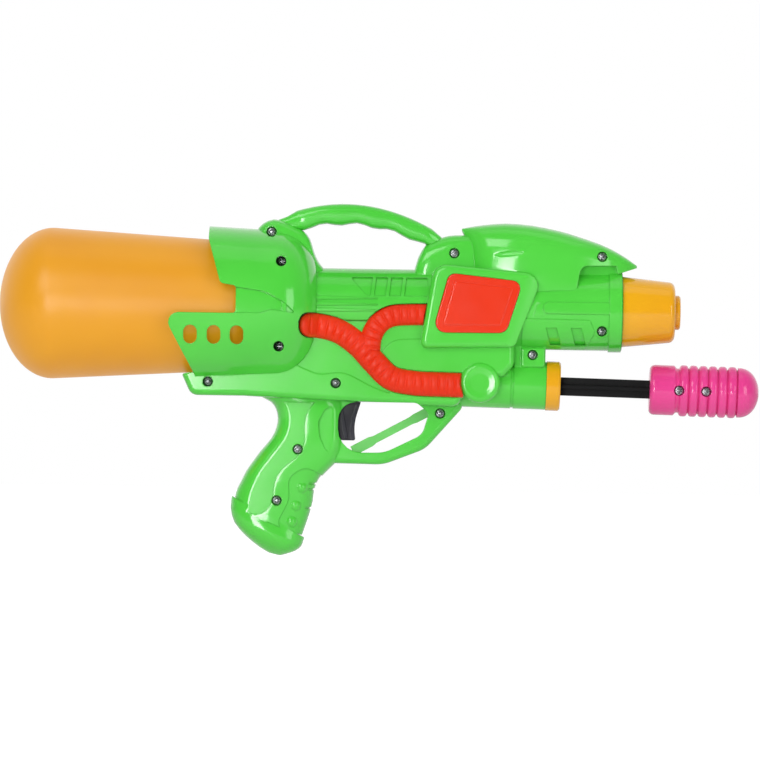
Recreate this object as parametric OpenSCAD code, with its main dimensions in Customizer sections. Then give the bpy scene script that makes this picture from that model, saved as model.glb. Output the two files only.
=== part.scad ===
// Pump-action water squirter: two moulded halves, a screw-in tank, an air pump and a trigger valve.
// X runs forward out of the nozzle and Z runs up. The origin is the centre of the nozzle's outlet.
// Everything is drawn in a body frame whose X starts at the front of the tank's cup, then placed.

/* [Tank] */
// Largest radius of the tank, near its rear end
tank_r = 45.2; // [42:0.1:46.5]
// Radius lost along the tank, from the rear to the shoulder
tank_taper = 6.4; // [4:0.1:9]
// Length of the tank, from its rear end to the front of its shoulder
tank_len = 150; // [125:1:190]
// Length of the tank's rounded rear end
tank_end = 32; // [20:1:45]
// Radius of the tank's rounded shoulder
tank_shoulder = 10; // [6:0.5:14]
// Wall of the blow-moulded tank
tank_wall = 1.8; // [1.2:0.1:2.6]
// Outer radius of the tank's neck
neck_r = 16.8; // [15:0.1:17.4]
// Length of the neck, from the shoulder to its lip
neck_len = 21; // [18:0.5:23]
// Distance from the cup's front back to the tank's shoulder
tank_seat = 40.5; // [38:0.5:46]
// Air left round the tank inside the cup's keel
tank_gap = 0.8; // [0.4:0.1:1.5]

/* [Body] */
// Wall of the moulded halves
wall = 2.2; // [1.6:0.1:2.8]
// Outer radius of the barrel
barrel_r = 23.5; // [22:0.1:25]
// Length of the barrel, from the cup to the nozzle's seat
barrel_len = 182.5; // [172:0.5:205]
// Length of the raised ring that holds the nozzle
ring_len = 8; // [7:0.5:11]
// Height of the raised ring over the barrel
ring_rise = 0.9; // [0.5:0.1:2]
// Radius of the cup's wall, where it meets its rounded front
cup_r = 45.8; // [44.5:0.1:48]
// Radius that the cup gains towards its rear edge
cup_flare = 1.8; // [1:0.1:3]
// Radius of the cup's rounded front
cup_round = 26; // [22:0.5:30]
// Length of the cup along its top
cup_len = 65.2; // [60:0.5:72]
// Height of the gap between the cup's upper and lower claw
claw_gap = 16.2; // [12:0.5:20]
// Half width of the lower body
body_y = 22; // [20:0.1:23]
// Depth of the lower body below the barrel's axis
body_drop = 53.8; // [52.5:0.1:56]
// Half width of the badge frame
frame_y = 27.5; // [26:0.1:30]
// Rounding of the lower body's edges
body_edge = 3.5; // [2:0.1:4.5]

/* [Grip and guard] */
// Half width of the grip
grip_y = 15; // [13.5:0.1:17]
// Half width of the trigger guard
guard_y = 8; // [7:0.1:10]
// Roundness of the grip's section, where 2 is an oval
grip_power = 2.7; // [2.2:0.1:3.5]
// Height of the guard's opening below the barrel's axis
guard_top = 56.4; // [55.8:0.1:57.5]

/* [Carry handle] */
// Height of the handle's top over the barrel's axis
handle_top = 62.2; // [58:0.2:70]
// Fall of the handle's arch: a larger value is flatter
handle_arch = 190; // [170:5:210]
// Thickness of the handle between its finger waves
handle_t = 12.2; // [10:0.1:14]
// Depth of the finger waves
handle_wave = 0.9; // [0:0.1:1.5]
// Half width of the handle
handle_y = 8; // [7:0.1:9]
// Half width of the handle's tongues inside the ears
tongue_y = 5; // [4:0.1:6]
// Half width of the ears
ear_y = 12; // [11:0.1:14]

/* [Nozzle] */
// Length from the barrel's end to the outlet
nozzle_len = 35; // [30:0.5:42]
// Radius of the nozzle's cone where it leaves the barrel
nozzle_rear_r = 21.2; // [20:0.1:22]
// Radius of the nozzle's cone at its front
nozzle_front_r = 18.3; // [16:0.1:20]
// Radius of the front disc
tip_r = 10.3; // [9:0.1:12]
// Thickness of the front disc
tip_t = 3.2; // [2:0.1:5]
// Radius of the water outlet
outlet_r = 1.5; // [1:0.1:1.7]

/* [Pump] */
// Stroke of the pump
stroke = 52; // [40:1:52]
// Distance from the cup's front to the collar's front
pump_x = 146.2; // [144:0.2:150]
// Depth of the pump's axis below the barrel's axis, at the collar
pump_drop = 45.2; // [44.5:0.1:46.5]
// Droop of the pump's axis
pump_droop = 1.2; // [0.6:0.1:1.6]
// Outer radius of the pump housing
housing_r = 14.4; // [13.8:0.1:15.5]
// Outer radius of the pump cylinder
cylinder_r = 10; // [9.6:0.1:10.6]
// Wall of the pump cylinder
cylinder_wall = 1.4; // [1:0.1:1.8]
// Length of the yellow collar
collar_len = 8.4; // [6:0.2:11]
// Outer radius of the pump rod
rod_r = 5.5; // [5:0.1:6]
// Thickness of the rod's webs
rod_web = 2.6; // [2:0.1:3.2]
// Radius of the pump handle's plain sleeve
pull_r = 15; // [14:0.1:17]
// Length of the pump handle
pull_len = 65.8; // [60:0.2:75]
// Number of the handle's finger ribs
pull_ribs = 6; // [4:1:6]
// Spacing of the handle's finger ribs
pull_pitch = 5.8; // [5.2:0.1:5.9]
// Depth of the grooves between the ribs
pull_groove = 2.1; // [1:0.1:2.6]
// Wall of the handle's halves
pull_wall = 2.4; // [1.8:0.1:2.8]

/* [Trigger and valve] */
// Angle that the trigger turns when pulled
trigger_pull = 14; // [8:1:14]
// Half width of the trigger
trigger_y = 5; // [4:0.1:5.2]
// Radius of the trigger's pin
pin_r = 2; // [1.6:0.1:2.4]
// Height of the valve's axis over the trigger's pin
arm_rise = 14; // [13.5:0.1:15]
// Outer radius of the valve body
valve_r = 7; // [6.6:0.1:7.4]
// Radius of the valve's bore
valve_bore = 4.6; // [4.3:0.1:4.9]
// Outer radius of the water and air tubes
tube_r = 3.4; // [3.1:0.1:3.7]
// Inner radius of the tubes
tube_bore = 2.5; // [2.3:0.1:2.6]
// Radius of the barbs that the tubes are pushed over
barb_r = 2.4; // [2.1:0.1:2.4]
// Turns of the valve's spring
spring_turns = 4; // [3:1:4]

/* [Trim and fasteners] */
// Radius of the mock hose
hose_r = 7.3; // [6.5:0.1:7.8]
// Radius of the mock hose's branch
branch_r = 6.4; // [5.8:0.1:7]
// Depth of the grooves between the hose's ribs
hose_groove = 0.8; // [0.3:0.1:1.2]
// Height of the hose as a share of its radius
hose_flat = 0.72; // [0.6:0.01:1]
// Rise of the hose's blunt end up the tank cup's front
hose_climb = 11; // [6:0.5:12]
// Thickness of the badge plate
badge_t = 3; // [2.4:0.1:4]
// Depth of the badge plate's pocket
badge_sunk = 1.8; // [1.2:0.1:2.2]
// Radius of the screws' shanks
shank_r = 1.45; // [1.2:0.05:1.6]
// Radius of the screws' heads
head_r = 2.8; // [2.4:0.1:3]
// Height of the screws' heads
head_t = 1.9; // [1.4:0.1:2.4]
// Air round a screw's head in its recess
head_gap = 0.3; // [0.2:0.05:0.5]
// Reach of the screws into the left half
screw_reach = 9; // [7:0.5:10]

/* [Fits] */
// Sliding and turning clearance
run = 0.06; // [0.03:0.01:0.09]
// Clearance of pieces that only sit in one another
fit = 0.12; // [0.05:0.01:0.2]
// Gap between pieces that move past one another
gap = 0.3; // [0.2:0.05:0.6]

/* [Hidden] */
green = [0.31, 0.8, 0.25];
orange = [0.93, 0.62, 0.14];
yellow = [0.95, 0.68, 0.06];
red = [0.9, 0.2, 0.06];
pink = [0.95, 0.25, 0.55];
black = [0.07, 0.07, 0.08];
slate = [0.2, 0.19, 0.23];
steel = [0.75, 0.76, 0.78];
milky = [0.86, 0.88, 0.86];
rubber = [0.12, 0.12, 0.12];
far = 80;
corner_steps = 5;
edge_steps = 3;
pod_sides = 12;
section_steps = 2;
arc_steps = 10;
$fn = 48;

// Stations along the body
neck_x = neck_len - tank_seat;
seal_t = 1.6;
socket_floor = neck_x + seal_t + fit;
socket_wall = 3.3;
socket_front = socket_floor + socket_wall;
barb_len = 8.5;
bore_r = barrel_r - wall;
body_len = barrel_len + nozzle_len;

// Outline of the lower body, as corners of X, Z and rounding
body_outline = [
  [-44.5, -body_drop, 3],
  [84, -body_drop - 4.6, 6],
  [92, -46, 5],
  [92, 8, 3],
  [-44.5, 8, 3],
];
body_hollow = [
  [-42, wall - body_drop, 2],
  [92 - wall, wall - guard_top, 3],
  [92 - wall, 6, 2],
  [-42, 6, 2],
];
keel_outline = [
  [-74.5, -body_drop, 6],
  [-30, -body_drop, 1],
  [-30, -34, 1],
  [-70, -34, 1],
  [-80.6, -40.4, 1.2],
];
keel_hollow = [
  [-70, wall - body_drop, 3],
  [-40, wall - body_drop, 1],
  [-40, -30, 1],
  [-75, -30, 1],
];
bridge_outline = [
  [70, -40, 2],
  [112, -40, 2],
  [118, -33, 3],
  [118, -12, 2],
  [70, -12, 2],
];
tab_y = 11.5;
tab_outline = [
  [122.5, -34, 1],
  [136.6, -34, 1.5],
  [136.6, -22.4, 1.5],
  [122.5, -22.4, 1],
];
link_outline = [
  [105, -42, 1],
  [137, -42, 1],
  [137, -14, 1],
  [105, -14, 1],
];
guard_outline = [
  [-2, -93.2, 3],
  [41, -93.8, 25],
  [66, -84, 18],
  [87.5, -59.5, 4],
  [88, -50, 2],
  [-2, -50, 2],
];
opening_outline = [
  [13.5, -87, 14],
  [41.5, -86.6, 20],
  [64, -75.5, 9],
  [67.7, -62.5, 4],
  [60.5, -guard_top, 6],
  [13.5, -guard_top, 11],
];
frame_outline = [
  [61.4, -23.7, 4],
  [118.1, -22.3, 4],
  [134.8, 21.6, 8],
  [69.4, 26.9, 9],
];
badge_outline = [
  [68.9, -14.3, 6],
  [112.9, -14, 6],
  [122.5, 16.8, 5],
  [78.4, 21.4, 5],
];
// Slanted front edge of the frame: foot of its upper line, lean of that line, width and fall
bevel_at = [113.6, -16.3];
bevel_lean = 71;
bevel_w = 10.5;
bevel_fall = 4.4;

// Sections of the grip: rear point, front point and half width
grip_sections = [
  [-37, -49, 17, -49, grip_y],
  [-32.5, -54.4, 17, -55, grip_y],
  [-27, -57.2, 17, -59, grip_y],
  [-23.9, -61.5, 17, -64, grip_y],
  [-22.8, -66.5, 17, -69.5, grip_y],
  [-23.6, -72.5, 17, -76, grip_y],
  [-26.5, -79, 17, -83, grip_y],
  [-33, -87, 14.5, -90.5, grip_y],
  [-37.3, -93, 9, -96.5, grip_y],
  [-41.3, -99, 3.4, -102.5, grip_y],
  [-44.2, -105, 0.6, -109, grip_y],
  [-46.6, -110, -0.3, -116.4, grip_y],
  [-47.6, -114, -2, -123.5, grip_y],
  [-47.7, -118, -4.4, -131, grip_y],
  [-47, -122, -6.4, -137, grip_y],
];
boot_sections = [
  [-49.6, -113.8, -5.6, -138.2, grip_y - 0.7],
  [-50.2, -121, -6.4, -140.6, grip_y - 0.2],
  [-47.9, -129.8, -7.4, -143.4, grip_y + 0.1],
  [-40.7, -138, -10.6, -146.2, grip_y - 2.5],
  [-32.8, -144.2, -16, -148.2, grip_y - 7],
  [-27, -147.6, -20, -149.2, grip_y - 11],
];
// Sections of the hood and the handle's two ears: lower point, upper point and half width
hood_sections = [
  [86, 46.6, 86, 48.4, 2],
  [90.5, 36, 90.5, 49.4, 8],
  [98, 6, 98, 50.7, 17],
  [111.7, -2, 111.7, 52, 20.5],
  [128, -6, 128, 51, 21.4],
  [144.7, -6, 144.7, 47.9, 21.2],
  [156, -4, 156, 44.7, 20],
  [168.6, 8, 168.6, 40.5, 17],
  [177, 14, 177, 36.8, 13.6],
  [184, 19, 184, 32.8, 9.6],
  [188.5, 22.5, 188.5, 29.7, 5.6],
  [191.2, 25.6, 191.2, 27.8, 1.8],
];
// Edge of the hood's skirt, and how far the hood's tip stands in front of the barrel
skirt_outline = [
  [80, 9, 1],
  [154.8, 12.3, 3],
  [157.2, 27, 5],
  [178.6, 27.2, 0.5],
  [179.4, 22.2, 0.5],
  [183, 23.6, 0.5],
  [200, 29.4, 1],
  [200, 60, 1],
  [80, 60, 1],
];
hood_tip = 191.2;
hood_over = 8.7;
hood_move = barrel_len + hood_over - hood_tip;
rear_ear_sections = [
  [-36.6, 39, -36.6, 46.2, 5],
  [-33, 33, -33, 50, 11],
  [-27, 30, -27, 52.3, ear_y],
  [-21, 30, -21, 51.2, ear_y],
  [-14.5, 26, -14.5, 48.5, ear_y],
  [-9, 22, -9, 45.6, ear_y],
  [-5, 18, -5, 40.8, ear_y],
  [-2.6, 16, -2.6, 33.6, ear_y],
  [0, 15, 0, 27.6, ear_y - 1],
  [3, 14, 3, 23.8, ear_y - 3],
];
front_ear_sections = [
  [57.5, 8, 57.5, 22, 9],
  [60, 8, 60, 31, 11],
  [64.5, 8, 64.5, 38.5, ear_y],
  [71, 8, 71, 41.8, ear_y],
  [78, 8, 78, 44, ear_y],
  [86, 8, 86, 44.6, ear_y],
  [94, 8, 94, 44, ear_y],
];

// Shallow step on the lower body and the sunk rear strap on the grip's side
step_depth = 0.7;
step_line = [
  [-16, -33],
  [0.6, -40],
  [11.4, -39.2],
  [19.8, -40.4],
  [33, -47],
  [44, -51],
];
crotch_line = [
  [46, -46],
  [38, -36],
  [39.1, -26.9],
  [42.7, -22.1],
  [48.6, -19],
  [64, -18.2],
];
strap_depth = 1.6;
strap_line = [
  [-0.6, -57],
  [-3.6, -61.2],
  [-5.8, -66.5],
  [-6.4, -73],
  [-6, -80],
  [-8.6, -87],
  [-12.8, -91.8],
  [-18.4, -96.4],
  [-22.6, -102.1],
  [-24.3, -109.4],
  [-24.9, -116.6],
  [-28.3, -121.8],
  [-33.4, -124.6],
  [-40, -123.2],
  [-45.3, -119],
  [-48.4, -113.2],
];
// Sunk finger panel on the grip's front, its notches and the recess round the trigger
panel_depth = 0.7;
panel_line = [
  [4.6, -101],
  [-4, -96.8],
  [-10.9, -98.9],
  [-15.3, -104],
  [-15.2, -114],
  [-17.6, -121],
  [-21, -128.1],
  [-19.4, -133],
  [-13.3, -137.5],
  [-6.3, -137.9],
];
notches = [[-3.4, -105.8], [-3.6, -109.2], [-5.2, -120.4]];
recess_y = grip_y - 2.1;
recess_outline = [
  [14, -57.6, 2],
  [5.5, -61.2, 4],
  [1.6, -68.7, 5],
  [2.7, -77.7, 6],
  [6.4, -86.1, 3],
  [20, -87.8, 1],
  [20, -57.6, 1],
];
knobs = [[-8.2, -108.1, 13], [-11.6, -118.9, 13.4], [-13.8, -128.6, 13.6]];
knob_r = 4;
knob_rise = 0.9;

// Middle lines of the mock hose and its branch
hose_line = [
  [-10.5, -11],
  [1.7, -11.4],
  [13.7, -14.7],
  [25, -22.5],
  [34.5, -32.5],
  [44.6, -41.7],
  [58, -44.6],
  [73, -45.2],
  [88, -45.5],
];
branch_line = [
  [31.8, -25],
  [32.6, -17.6],
  [36.6, -9.9],
  [44.6, -4.9],
  [57, -3.8],
  [70, -3.7],
];
hose_seat = body_y - step_depth;
ribs_per_span = 3;

// Screws of the body: X, Z, half width of the part there and depth of the recess
body_screws = [
  [-28, 44.6, ear_y, 4],
  [-21.7, 26.7, 35.5, 20],
  [-22.4, -24, 36, 20],
  [-64.6, 8.2 - body_drop, body_y, 8],
  [11.8, -45.4, body_y, 8],
  [74.5, -62.6, guard_y, 3],
  [-10.3, -85.3, grip_y, 5],
  [-22.5, -116.1, grip_y, 5],
  [81.5, 33.4, ear_y, 4],
  [barrel_len - 12.6, 32.6, 15.6, 5],
  [barrel_len - 12.2, -12, 19.4, 6],
  [129.3, -26.7, tab_y, 4],
];
post_r = 4;
pilot_r = shank_r + 0.05;

// Pump, along its own axis from the collar's front
piston_front = -collar_len - 7.6;
piston_len = 8;
cap_t = 5;
cylinder_bore = cylinder_r - cylinder_wall;
housing_bore = cylinder_r + 1.2;
pull_back = stroke + 1.5;
pull_screw = [17.5, 33.7];

// Trigger and valve
pivot = [22.5, -48];
valve_z = pivot[1] + arm_rise;
valve_x = 27.5;
valve_end = 3.5;
arm_ratio = arm_rise * PI / 180;
plunger_travel = arm_ratio * trigger_pull;
nose_r = 2.5;
inlet_x = valve_x + 7.5;
outlet_x = valve_x + 15.5;
land_x = valve_x + 12;
spring_x = valve_x + 17.5;
spring_room = 2.6;
spring_len = plunger_travel + spring_room;
valve_len = spring_x + spring_len + valve_end - valve_x;
// The cylinder ends short of the valve
cap_room = 6.68;
cylinder_back = valve_x + valve_len + cap_room + cap_t - pump_x;
tube_low = -8;
air_side = -9;
valve_barb_top = valve_z + valve_r + 8;

function unit(v) = v / norm(v);
function left_of(v) = [-v[1], v[0]];
function flat(v) = [v[0], v[1]];
function turned(v, a) = [v[0] * cos(a) - v[1] * sin(a), v[0] * sin(a) + v[1] * cos(a)];
function turn_sign(e, f) = e[0] * f[1] - e[1] * f[0] >= 0 ? 1 : -1;

// Points of one rounded corner of an outline
function corner_arc(p, q, s, r) =
  let (
    e = unit(q - p),
    f = unit(s - q),
    way = turn_sign(e, f),
    angle = acos(max(-1, min(1, e * f))),
    start = q - e * r * tan(angle / 2),
    middle = start + left_of(e) * r * way
  )
  [for (k = [0:corner_steps]) middle - r * way * turned(left_of(e), way * angle * k / corner_steps)];

// Outline with rounded corners, from corners of X, Z and radius
function rounded(c) =
  let (m = len(c))
  [for (i = [0:m - 1]) each corner_arc(flat(c[(i + m - 1) % m]), flat(c[i]), flat(c[(i + 1) % m]), c[i][2])];

// Corners moved inwards by d, or outwards by -d
function inset(c, d) =
  let (m = len(c))
  [
    for (i = [0:m - 1])
      let (
        e = unit(flat(c[i]) - flat(c[(i + m - 1) % m])),
        f = unit(flat(c[(i + 1) % m]) - flat(c[i])),
        q = flat(c[i]) + d * (left_of(e) + left_of(f)) / (1 + e * f)
      )
      [q[0], q[1], max(0.3, c[i][2] - turn_sign(e, f) * d)],
  ];

// Smooth curve through points of any number of values
function between(a, b, c, d, t) =
  0.5 * (2 * b + (c - a) * t + (2 * a - 5 * b + 4 * c - d) * t * t + (3 * b - a - 3 * c + d) * t * t * t);
function smooth(p, steps) =
  let (m = len(p) - 1)
  [
    for (i = [0:m - 1])
      for (k = [0:steps - 1])
        between(p[max(0, i - 1)], p[i], p[i + 1], p[min(m, i + 2)], k / steps),
    p[m],
  ];

// Area of a ring as a vector, and the ring's middle
function ring_vector(r) = let (m = len(r), c = [for (i = [0:m - 1]) cross(r[i], r[(i + 1) % m])]) [for (i = r) 1] * c;
function ring_middle(r) = [for (i = r) 1] * r / len(r);
function reversed(r) = [for (i = [len(r) - 1:-1:0]) r[i]];
function facing(rings) =
  ring_vector(rings[0]) * (ring_middle(rings[1]) - ring_middle(rings[0])) >= 0 ? rings : [for (r = rings) reversed(r)];

// Skin over rings of equal point counts, closed by flat convex ends
module loft(rings) {
  skin = facing(rings);
  m = len(skin[0]);
  n = len(skin);
  sides = [
    for (i = [0:n - 2])
      for (j = [0:m - 1])
        each [
          [i * m + j, i * m + m + j, i * m + m + (j + 1) % m],
          [i * m + j, i * m + m + (j + 1) % m, i * m + (j + 1) % m],
        ],
  ];
  polyhedron(
    points = [for (r = skin) each r],
    faces = concat(sides, [[for (j = [0:m - 1]) j]], [[for (j = [m - 1:-1:0]) (n - 1) * m + j]]),
    convexity = 6
  );
}

// Half of a rounded section between two points, on the side of +Y
function half_section(s, power) =
  let (
    p = [s[0], s[1]],
    q = [s[2], s[3]],
    c = (p + q) / 2,
    v = (q - p) / 2
  )
  [
    for (k = [0:pod_sides])
      let (
        a = 180 * k / pod_sides,
        w = -sign(cos(a)) * pow(abs(cos(a)), 2 / power)
      )
      [c[0] + v[0] * w, s[4] * pow(abs(sin(a)), 2 / power), c[1] + v[1] * w],
  ];
function thinner(s, d) =
  let (e = unit([s[2] - s[0], s[3] - s[1]]) * d)
  [s[0] + e[0], s[1] + e[1], s[2] - e[0], s[3] - e[1], s[4] - d];
function mirrored(r) = [for (i = [len(r) - 2:-1:1]) [r[i][0], -r[i][1], r[i][2]]];
module pod(sections, power, less = 0, steps = section_steps) {
  loft([for (s = smooth(sections, steps)) half_section(thinner(s, less), power)]);
}

// Plate with a rounded edge on the side of +Y
module slab(corners, y0, y1, edge) {
  rings = [
    for (k = [-1:edge_steps])
      let (
        a = max(0, k) * 90 / edge_steps,
        y = k < 0 ? y0 : y1 - edge + edge * sin(a)
      )
      [for (p = rounded(inset(corners, edge * (1 - cos(a))))) [p[0], y, p[1]]],
  ];
  loft(rings);
}

// Flat plate of an outline, from Y = y0 to Y = y1
module plate(points, y0, y1) {
  translate([0, y1, 0])
    rotate([90, 0, 0])
      linear_extrude(y1 - y0)
        polygon(points);
}

// Half and whole turned bodies about the barrel's axis, from a profile of radius and X
module half_turn(profile) {
  rotate([0, 90, 0])
    rotate_extrude(angle = 180)
      polygon(profile);
}
module full_turn(profile) {
  rotate([0, 90, 0])
    rotate_extrude()
      polygon(profile);
}
module bar_x(x0, x1, r) {
  translate([x0, 0, 0])
    rotate([0, 90, 0])
      cylinder(h = x1 - x0, r = r);
}
module half_bar_x(x0, x1, r) {
  half_turn([[0, x0], [r, x0], [r, x1], [0, x1]]);
}
module bar_y(x, z, y0, y1, r) {
  translate([x, y0, z])
    rotate([-90, 0, 0])
      cylinder(h = y1 - y0, r = r);
}
module placed() {
  translate([-body_len, 0, 0]) children();
}
module on_pump() {
  translate([pump_x, 0, -pump_drop])
    rotate([0, pump_droop, 0])
      children();
}

// Quarter curve of a profile, from radius r0 at x0 to radius r1 at x1
function quarter(r0, x0, r1, x1, a0 = 0, a1 = 90) =
  [for (k = [0:arc_steps]) let (a = a0 + (a1 - a0) * k / arc_steps) [r1 + (r0 - r1) * cos(a), x0 + (x1 - x0) * sin(a)]];

function cup_radius(x) = cup_r + cup_flare * (-x - cup_round) / (cup_len - cup_round);
cup_tail = -95;
function cup_profile(d) =
  concat(
    [[0, cup_tail], [cup_radius(cup_tail) - d, cup_tail], [cup_r - d, -cup_round]],
    [for (k = [1:arc_steps]) let (a = 90 * k / arc_steps) [cup_r - cup_round + (cup_round - d) * cos(a), -cup_round + (cup_round - d) * sin(a)]],
    [[0, -d]]
  );

// Everything behind the edge of the claws
claw_cut = [
  [-150, -62, 1],
  [-61.6, -62, 1],
  [-92, -4.6, 6],
  [-48.2, -4.6, 2],
  [-48.2, claw_gap - 4.6, 2],
  [-57.5, claw_gap - 3.2, 3],
  [-cup_len, 39.8, 3],
  [-cup_len, far, 1],
  [-150, far, 1],
];
leaf_outline = [
  [-52, -4.4, 0.5],
  [-34, -4.4, 5],
  [-27, -2.2, 4],
  [-12.4, -4.2, 0.6],
  [-20, 2.6, 12],
  [-32, 8.6, 14],
  [-52, claw_gap - 4.9, 0.5],
];
claw_holes = [-75, -61, -47.4];
claw_hole_z = -17.6;

claw_hole_r = 4;
claw_hole_long = 1.5;
module claw_hole(x) {
  bar_y(x, claw_hole_z - claw_hole_long, 20, far, claw_hole_r);
  bar_y(x, claw_hole_z + claw_hole_long, 20, far, claw_hole_r);
  translate([x - claw_hole_r, 20, claw_hole_z - claw_hole_long])
    cube([2 * claw_hole_r, far, 2 * claw_hole_long]);
}

module cup() {
  difference() {
    half_turn(cup_profile(0));
    plate(rounded(claw_cut), -1, far);
    difference() {
      plate(rounded(leaf_outline), 10, far);
      half_turn(cup_profile(1.1));
    }
    for (x = claw_holes) {
      claw_hole(x);
    }
  }
}

// Surface details of the barrel
function barrel_band(d) = [[barrel_r - d, -1], [barrel_r + 4, -1], [barrel_r + 4, barrel_len], [barrel_r - d, barrel_len]];
vent_panel = [
  [29.5, 7.2, 0.6],
  [66, 7.2, 0.6],
  [66, 18.2, 1],
  [19.5, 18.2, 1],
];
vent_bars = [31.5, 40.5, 49.5];
slots = [barrel_len - 43, barrel_len - 28];
slot_z = [-20.5, -10.4];
slot_panel = [
  [barrel_len - 60, -5, 1],
  [barrel_len - 19.5, -5.6, 2],
  [barrel_len - 16.5, -13, 3],
  [barrel_len - 22, -23.4, 1],
  [barrel_len - 60, -23.4, 1],
];
ridges = [5.6, 2, -1.6];
module slanted(x, z0, z1, lean, w, y0, y1) {
  plate([[x, z0], [x + w, z0], [x + w + lean, z1], [x + lean, z1]], y0, y1);
}
module barrel_marks() {
  intersection() {
    half_turn(barrel_band(0.9));
    union() {
      difference() {
        plate(rounded(vent_panel), 8, far);
        for (x = vent_bars) {
          slanted(x, 6, 19, 1.6, 2.2, 7, far + 1);
        }
      }
      for (x = slots) {
        slanted(x, slot_z[0], slot_z[1], -2.8, 6.4, 8, far);
      }
    }
  }
}
module barrel_raised() {
  intersection() {
    plate(rounded(slot_panel), 3, far);
    half_bar_x(barrel_len - 70, barrel_len - 10, barrel_r + 0.5);
  }
  intersection() {
    for (z = ridges) {
      plate([[-2, z - 1.1], [36, z - 0.3], [36, z + 0.3], [-2, z + 1.1]], 15, far);
    }
    half_bar_x(-3, 40, barrel_r + 0.7);
  }
}
strip_from = barrel_len - 47.5;
strip_outline = [
  [strip_from, -2, 3.3],
  [barrel_len - ring_len + 1, -2, 0.3],
  [barrel_len - ring_len + 1, 5, 0.3],
  [strip_from, 5, 3.3],
];

// Hood over the barrel: a pod cut off along its skirt, on a narrow web, with a crease in its side
module hood() {
  translate([hood_move, 0, 0]) {
    intersection() {
      pod(hood_sections, 3);
      plate(rounded(skirt_outline), -1, far);
    }
    translate([150, 0, 18])
      cube([31.3, 9, 12]);
  }
}
module hood_crease() {
  translate([115 + hood_move, 21.5, 33.6])
    rotate([0, -6, 7])
      full_turn([[0, -16], [1, -12], [1.9, -6], [2.2, 0], [1.9, 6], [1, 12], [0, 16]]);
}

// Boss that closes the pump housing's side
boss_at = [97.8, -43.7];
boss_r = 12;
boss_y = 23.8;
module side_boss() {
  translate([boss_at[0], 0, boss_at[1]])
    rotate([-90, 0, 0])
      rotate_extrude()
        polygon(concat([[0, 4], [boss_r, 4], [boss_r, boss_y - 3]], quarter(boss_r, boss_y - 3, boss_r - 3, boss_y), [[5, boss_y - 0.6], [0, boss_y - 0.6]]));
}

// Arch of the carry handle
handle_from = -35;
handle_to = 87.5;
handle_crown = 16;
wave_pitch = 20.5;
wave_at = 13;
handle_grip = [-13, 68];
function arch(x) = handle_top - (x - handle_crown) * (x - handle_crown) / handle_arch;
function ramp(x, a, b) = max(0, min(1, (x - a) / (b - a)));
function tongue(x) = max(1 - ramp(x, handle_grip[0] - 6, handle_grip[0]), ramp(x, handle_grip[1], handle_grip[1] + 6));
function handle_section(x, grow) =
  let (
    k = tongue(x),
    top = arch(x) - 1.6 * k,
    t = (handle_t + handle_wave * cos(360 * (x - wave_at) / wave_pitch)) * (1 - k) + (handle_t - 4) * k,
    y = handle_y * (1 - k) + tongue_y * k
  )
  [x, top - t - grow, x, top + grow, y + grow];
function handle_ring(x, grow) = let (h = half_section(handle_section(x, grow), 3)) concat(h, mirrored(h));
function spaced(a, b, n) = [for (k = [0:n]) a + (b - a) * k / n];
grip_steps = 18;
grip_stops = spaced(handle_grip[0], handle_grip[1], grip_steps);
rear_stops = spaced(handle_from, handle_grip[0] - 6, 3);
front_stops = spaced(handle_grip[1] + 6, handle_to, 3);
module handle_run(stops, grow) {
  loft([for (x = stops) handle_ring(x, grow)]);
}
module handle_pockets() {
  handle_run(concat([handle_from - gap], rear_stops, [grip_stops[0], grip_stops[1]]), gap);
  handle_run(concat([for (k = [2:-1:0]) grip_stops[grip_steps - k]], front_stops, [handle_to + gap]), gap);
}

// Bar across the trigger guard
brace_mid = [45.5, -73.5];
brace_tilt = 28.4;
brace_half = 26.2;
brace_y = 2;
function brace_outline(d) = [
  [-brace_half - d, -3 - d],
  [-brace_half + 12, -3 - d],
  [-brace_half + 15, -2.3 - d],
  [brace_half - 13, -2.3 - d],
  [brace_half - 10, -2.8 - d],
  [brace_half + d, -2.8 - d],
  [brace_half + d, 2.8 + d],
  [brace_half - 10, 2.8 + d],
  [brace_half - 13, 2.3 + d],
  [-brace_half + 15, 2.3 + d],
  [-brace_half + 12, 3 + d],
  [-brace_half - d, 3 + d],
];
module brace_form(d) {
  translate([brace_mid[0], 0, brace_mid[1]])
    rotate([0, -brace_tilt, 0])
      plate(brace_outline(d), -brace_y - d, brace_y + d);
}

// Mock hose: half-round ribbed section swept along a line in the plane of the body's side
hose_sides = 8;
round_rings = 5;
function blunt_radius(i, r) = i < round_rings ? r * sqrt(1 - pow(1 - i / round_rings, 2) * 0.92) : r;
function hose_level(i, r, blunt) =
  blunt && i < round_rings ? blunt_radius(i, r) : r - (i % 3 == 0 ? hose_groove : 0);
function hose_bed(line) = smooth(line, ribs_per_span * 3);
function line_way(p, i) = unit(p[min(len(p) - 1, i + 1)] - p[max(0, i - 1)]);
climb_rings = 10;
function climb_share(s) = s * s * (3 - 2 * s);
function climb_of(i) = hose_climb * climb_share(max(0, 1 - i / climb_rings));
function hose_height(i, r, blunt) =
  hose_flat * (blunt && i < round_rings ? r : hose_level(i, r, blunt)) + (blunt ? climb_of(i) : 0);
function hose_ring(p, e, r, h) = [
  for (j = [0:hose_sides])
    let (a = 180 * j / hose_sides, w = left_of(e) * r * cos(a))
    [p[0] + w[0], hose_seat + max(0.001, h * sin(a)), p[1] + w[1]],
];
module hose(line, r, blunt) {
  p = hose_bed(line);
  loft([for (i = [0:len(p) - 1]) hose_ring(p[i], line_way(p, i), hose_level(i, r, blunt), hose_height(i, r, blunt))]);
}
function pocket_radius(i, r, blunt) = (blunt ? blunt_radius(i, r) : r) + gap;
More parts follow.
